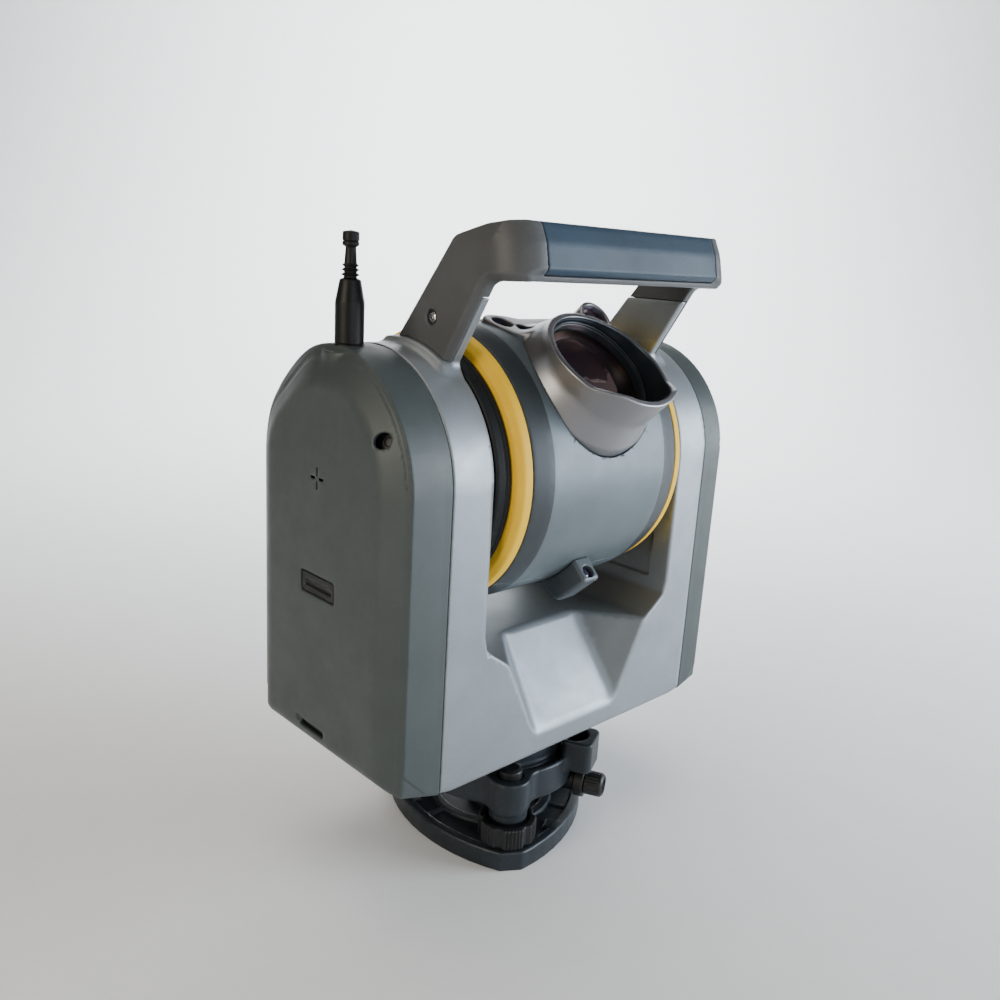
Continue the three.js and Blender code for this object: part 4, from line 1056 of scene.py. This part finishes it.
INNER = (
    (STEEL, ("vertical_spindle", "azimuth_bearing_lower", "azimuth_bearing_upper", "left_trunnion_bearing",
             "right_trunnion_bearing", "left_trunnion_shaft", "right_trunnion_shaft")),
    (DARK_STEEL, ("spring_plate",)),
    (SILVER, ("base_cover", "telescope_chassis")),
    (DISC, ("azimuth_encoder_disc", "tilt_encoder_disc")),
    (COPPER, ("azimuth_drive_coil", "tilt_motor")),
    (BRASS, ("antenna_connector",)),
    (BOARD, ("main_board",)),
)


def dress_inner_nodes():
    """CAD nodes that are kept as they are get a material and softened edges."""
    for material, node in ((material, NODES[name]) for material, names in INNER for name in names):
        node.data.materials.clear()
        node.data.materials.append(material)
        soften = node.modifiers.new("edges", "BEVEL")
        soften.width = 0.25 * MM
        soften.segments = 2
        soften.limit_method = "ANGLE"
        soften.angle_limit = math.radians(40)
        soften.harden_normals = True


make_tribrach()
make_alidade()
make_telescope()
dress_inner_nodes()


# ------------ studio
CAMERA_AT = (-0.4392, -0.4410 + AXIS_Y * MM, 0.3968)
CAMERA_TURN = (75.486, -3.325, -43.462)
BACKDROP_TURN = -44.0


def backdrop():
    """A pale floor that curls up behind the instrument."""
    mesh = bpy.data.meshes.new("floor")
    steps, half_width, back, height, curl = 24, 6.0, 2.4, 1.7, 1.2
    rows = [(-4.0, 0.0), (back - curl, 0.0)]
    for k in range(1, steps + 1):
        angle = math.pi / 2 * k / steps
        rows.append((back - curl + curl * math.sin(angle), curl - curl * math.cos(angle)))
    rows.append((back, height))
    vertices = [(side * half_width, y, z) for y, z in rows for side in (-1, 1)]
    faces = [(2 * k, 2 * k + 1, 2 * k + 3, 2 * k + 2) for k in range(len(rows) - 1)]
    mesh.from_pydata(vertices, [], faces)
    mesh.shade_smooth()
    floor = bpy.data.objects.new("studio_floor", mesh)
    bpy.context.scene.collection.objects.link(floor)
    floor.rotation_euler.z = math.radians(BACKDROP_TURN)
    mesh.materials.append(finish("studio_paper", (0.86, 0.865, 0.87), 0.85, grain=0.05, grain_size=4,
                                 mottle=0.006, smudge=0.02, wear=0))


def surroundings():
    """A room that is dark and warm on one side and pale on the other."""
    world = bpy.data.worlds.new("studio")
    world.use_nodes = True
    nodes, links = world.node_tree.nodes, world.node_tree.links
    facing = nodes.new("ShaderNodeVectorMath")
    facing.operation = "DOT_PRODUCT"
    links.new(nodes.new("ShaderNodeTexCoord").outputs["Generated"], facing.inputs[0])
    facing.inputs[1].default_value = (0.64, -0.68, -0.36)
    spread = nodes.new("ShaderNodeMapRange")
    spread.inputs["From Min"].default_value = -1
    links.new(facing.outputs["Value"], spread.inputs["Value"])
    sky = nodes.new("ShaderNodeValToRGB")
    links.new(spread.outputs["Result"], sky.inputs["Fac"])
    stops = sky.color_ramp.elements
    stops[0].position, stops[0].color = 0.30, (0.050, 0.044, 0.036, 1)
    stops[1].position, stops[1].color = 0.95, (0.75, 0.86, 1.0, 1)
    stops.new(0.62).color = (0.17, 0.17, 0.165, 1)
    links.new(sky.outputs["Color"], nodes["Background"].inputs["Color"])
    nodes["Background"].inputs["Strength"].default_value = 1.0
    bpy.context.scene.world = world


def softbox(name, place, target, size, watts, colour, spread=180):
    light = bpy.data.lights.new(name, "AREA")
    light.shape = "RECTANGLE"
    light.size, light.size_y = size
    light.energy = watts
    light.color = colour
    light.spread = math.radians(spread)
    obj = bpy.data.objects.new(name, light)
    obj.location = place
    obj.rotation_euler = (Vector(target) - Vector(place)).to_track_quat("-Z", "Y").to_euler()
    bpy.context.scene.collection.objects.link(obj)


def lights():
    middle = (0, 0, 0.22)
    softbox("window_light", (1.18, -1.15, 0.42), middle, (0.9, 0.95), 40, (0.84, 0.92, 1.0))
    softbox("front_fill", (-0.35, -1.6, 0.55), middle, (1.0, 0.8), 6.5, (0.95, 0.97, 1.0))
    softbox("room_fill", (-1.7, -0.1, 0.7), middle, (0.9, 0.9), 17, (1.0, 0.90, 0.74))
    softbox("ceiling", (-0.3, 0.3, 1.8), middle, (1.2, 1.2), 7, (1.0, 0.92, 0.82))
    softbox("backdrop_light", (0.6, 0.75, 2.1), (1.75, 1.8, 0.1), (1.8, 1.8), 85, (0.95, 0.98, 1.0), 115)


def view():
    lens = bpy.data.cameras.new("camera")
    lens.lens = 33.55
    lens.sensor_width = 36
    lens.clip_start = 0.01
    camera = bpy.data.objects.new("camera", lens)
    bpy.context.scene.collection.objects.link(camera)
    turn = Euler([math.radians(angle) for angle in CAMERA_TURN])
    camera.matrix_world = Matrix.LocRotScale(Vector(CAMERA_AT), turn, None)
    bpy.context.scene.camera = camera


backdrop()
surroundings()
lights()
view()
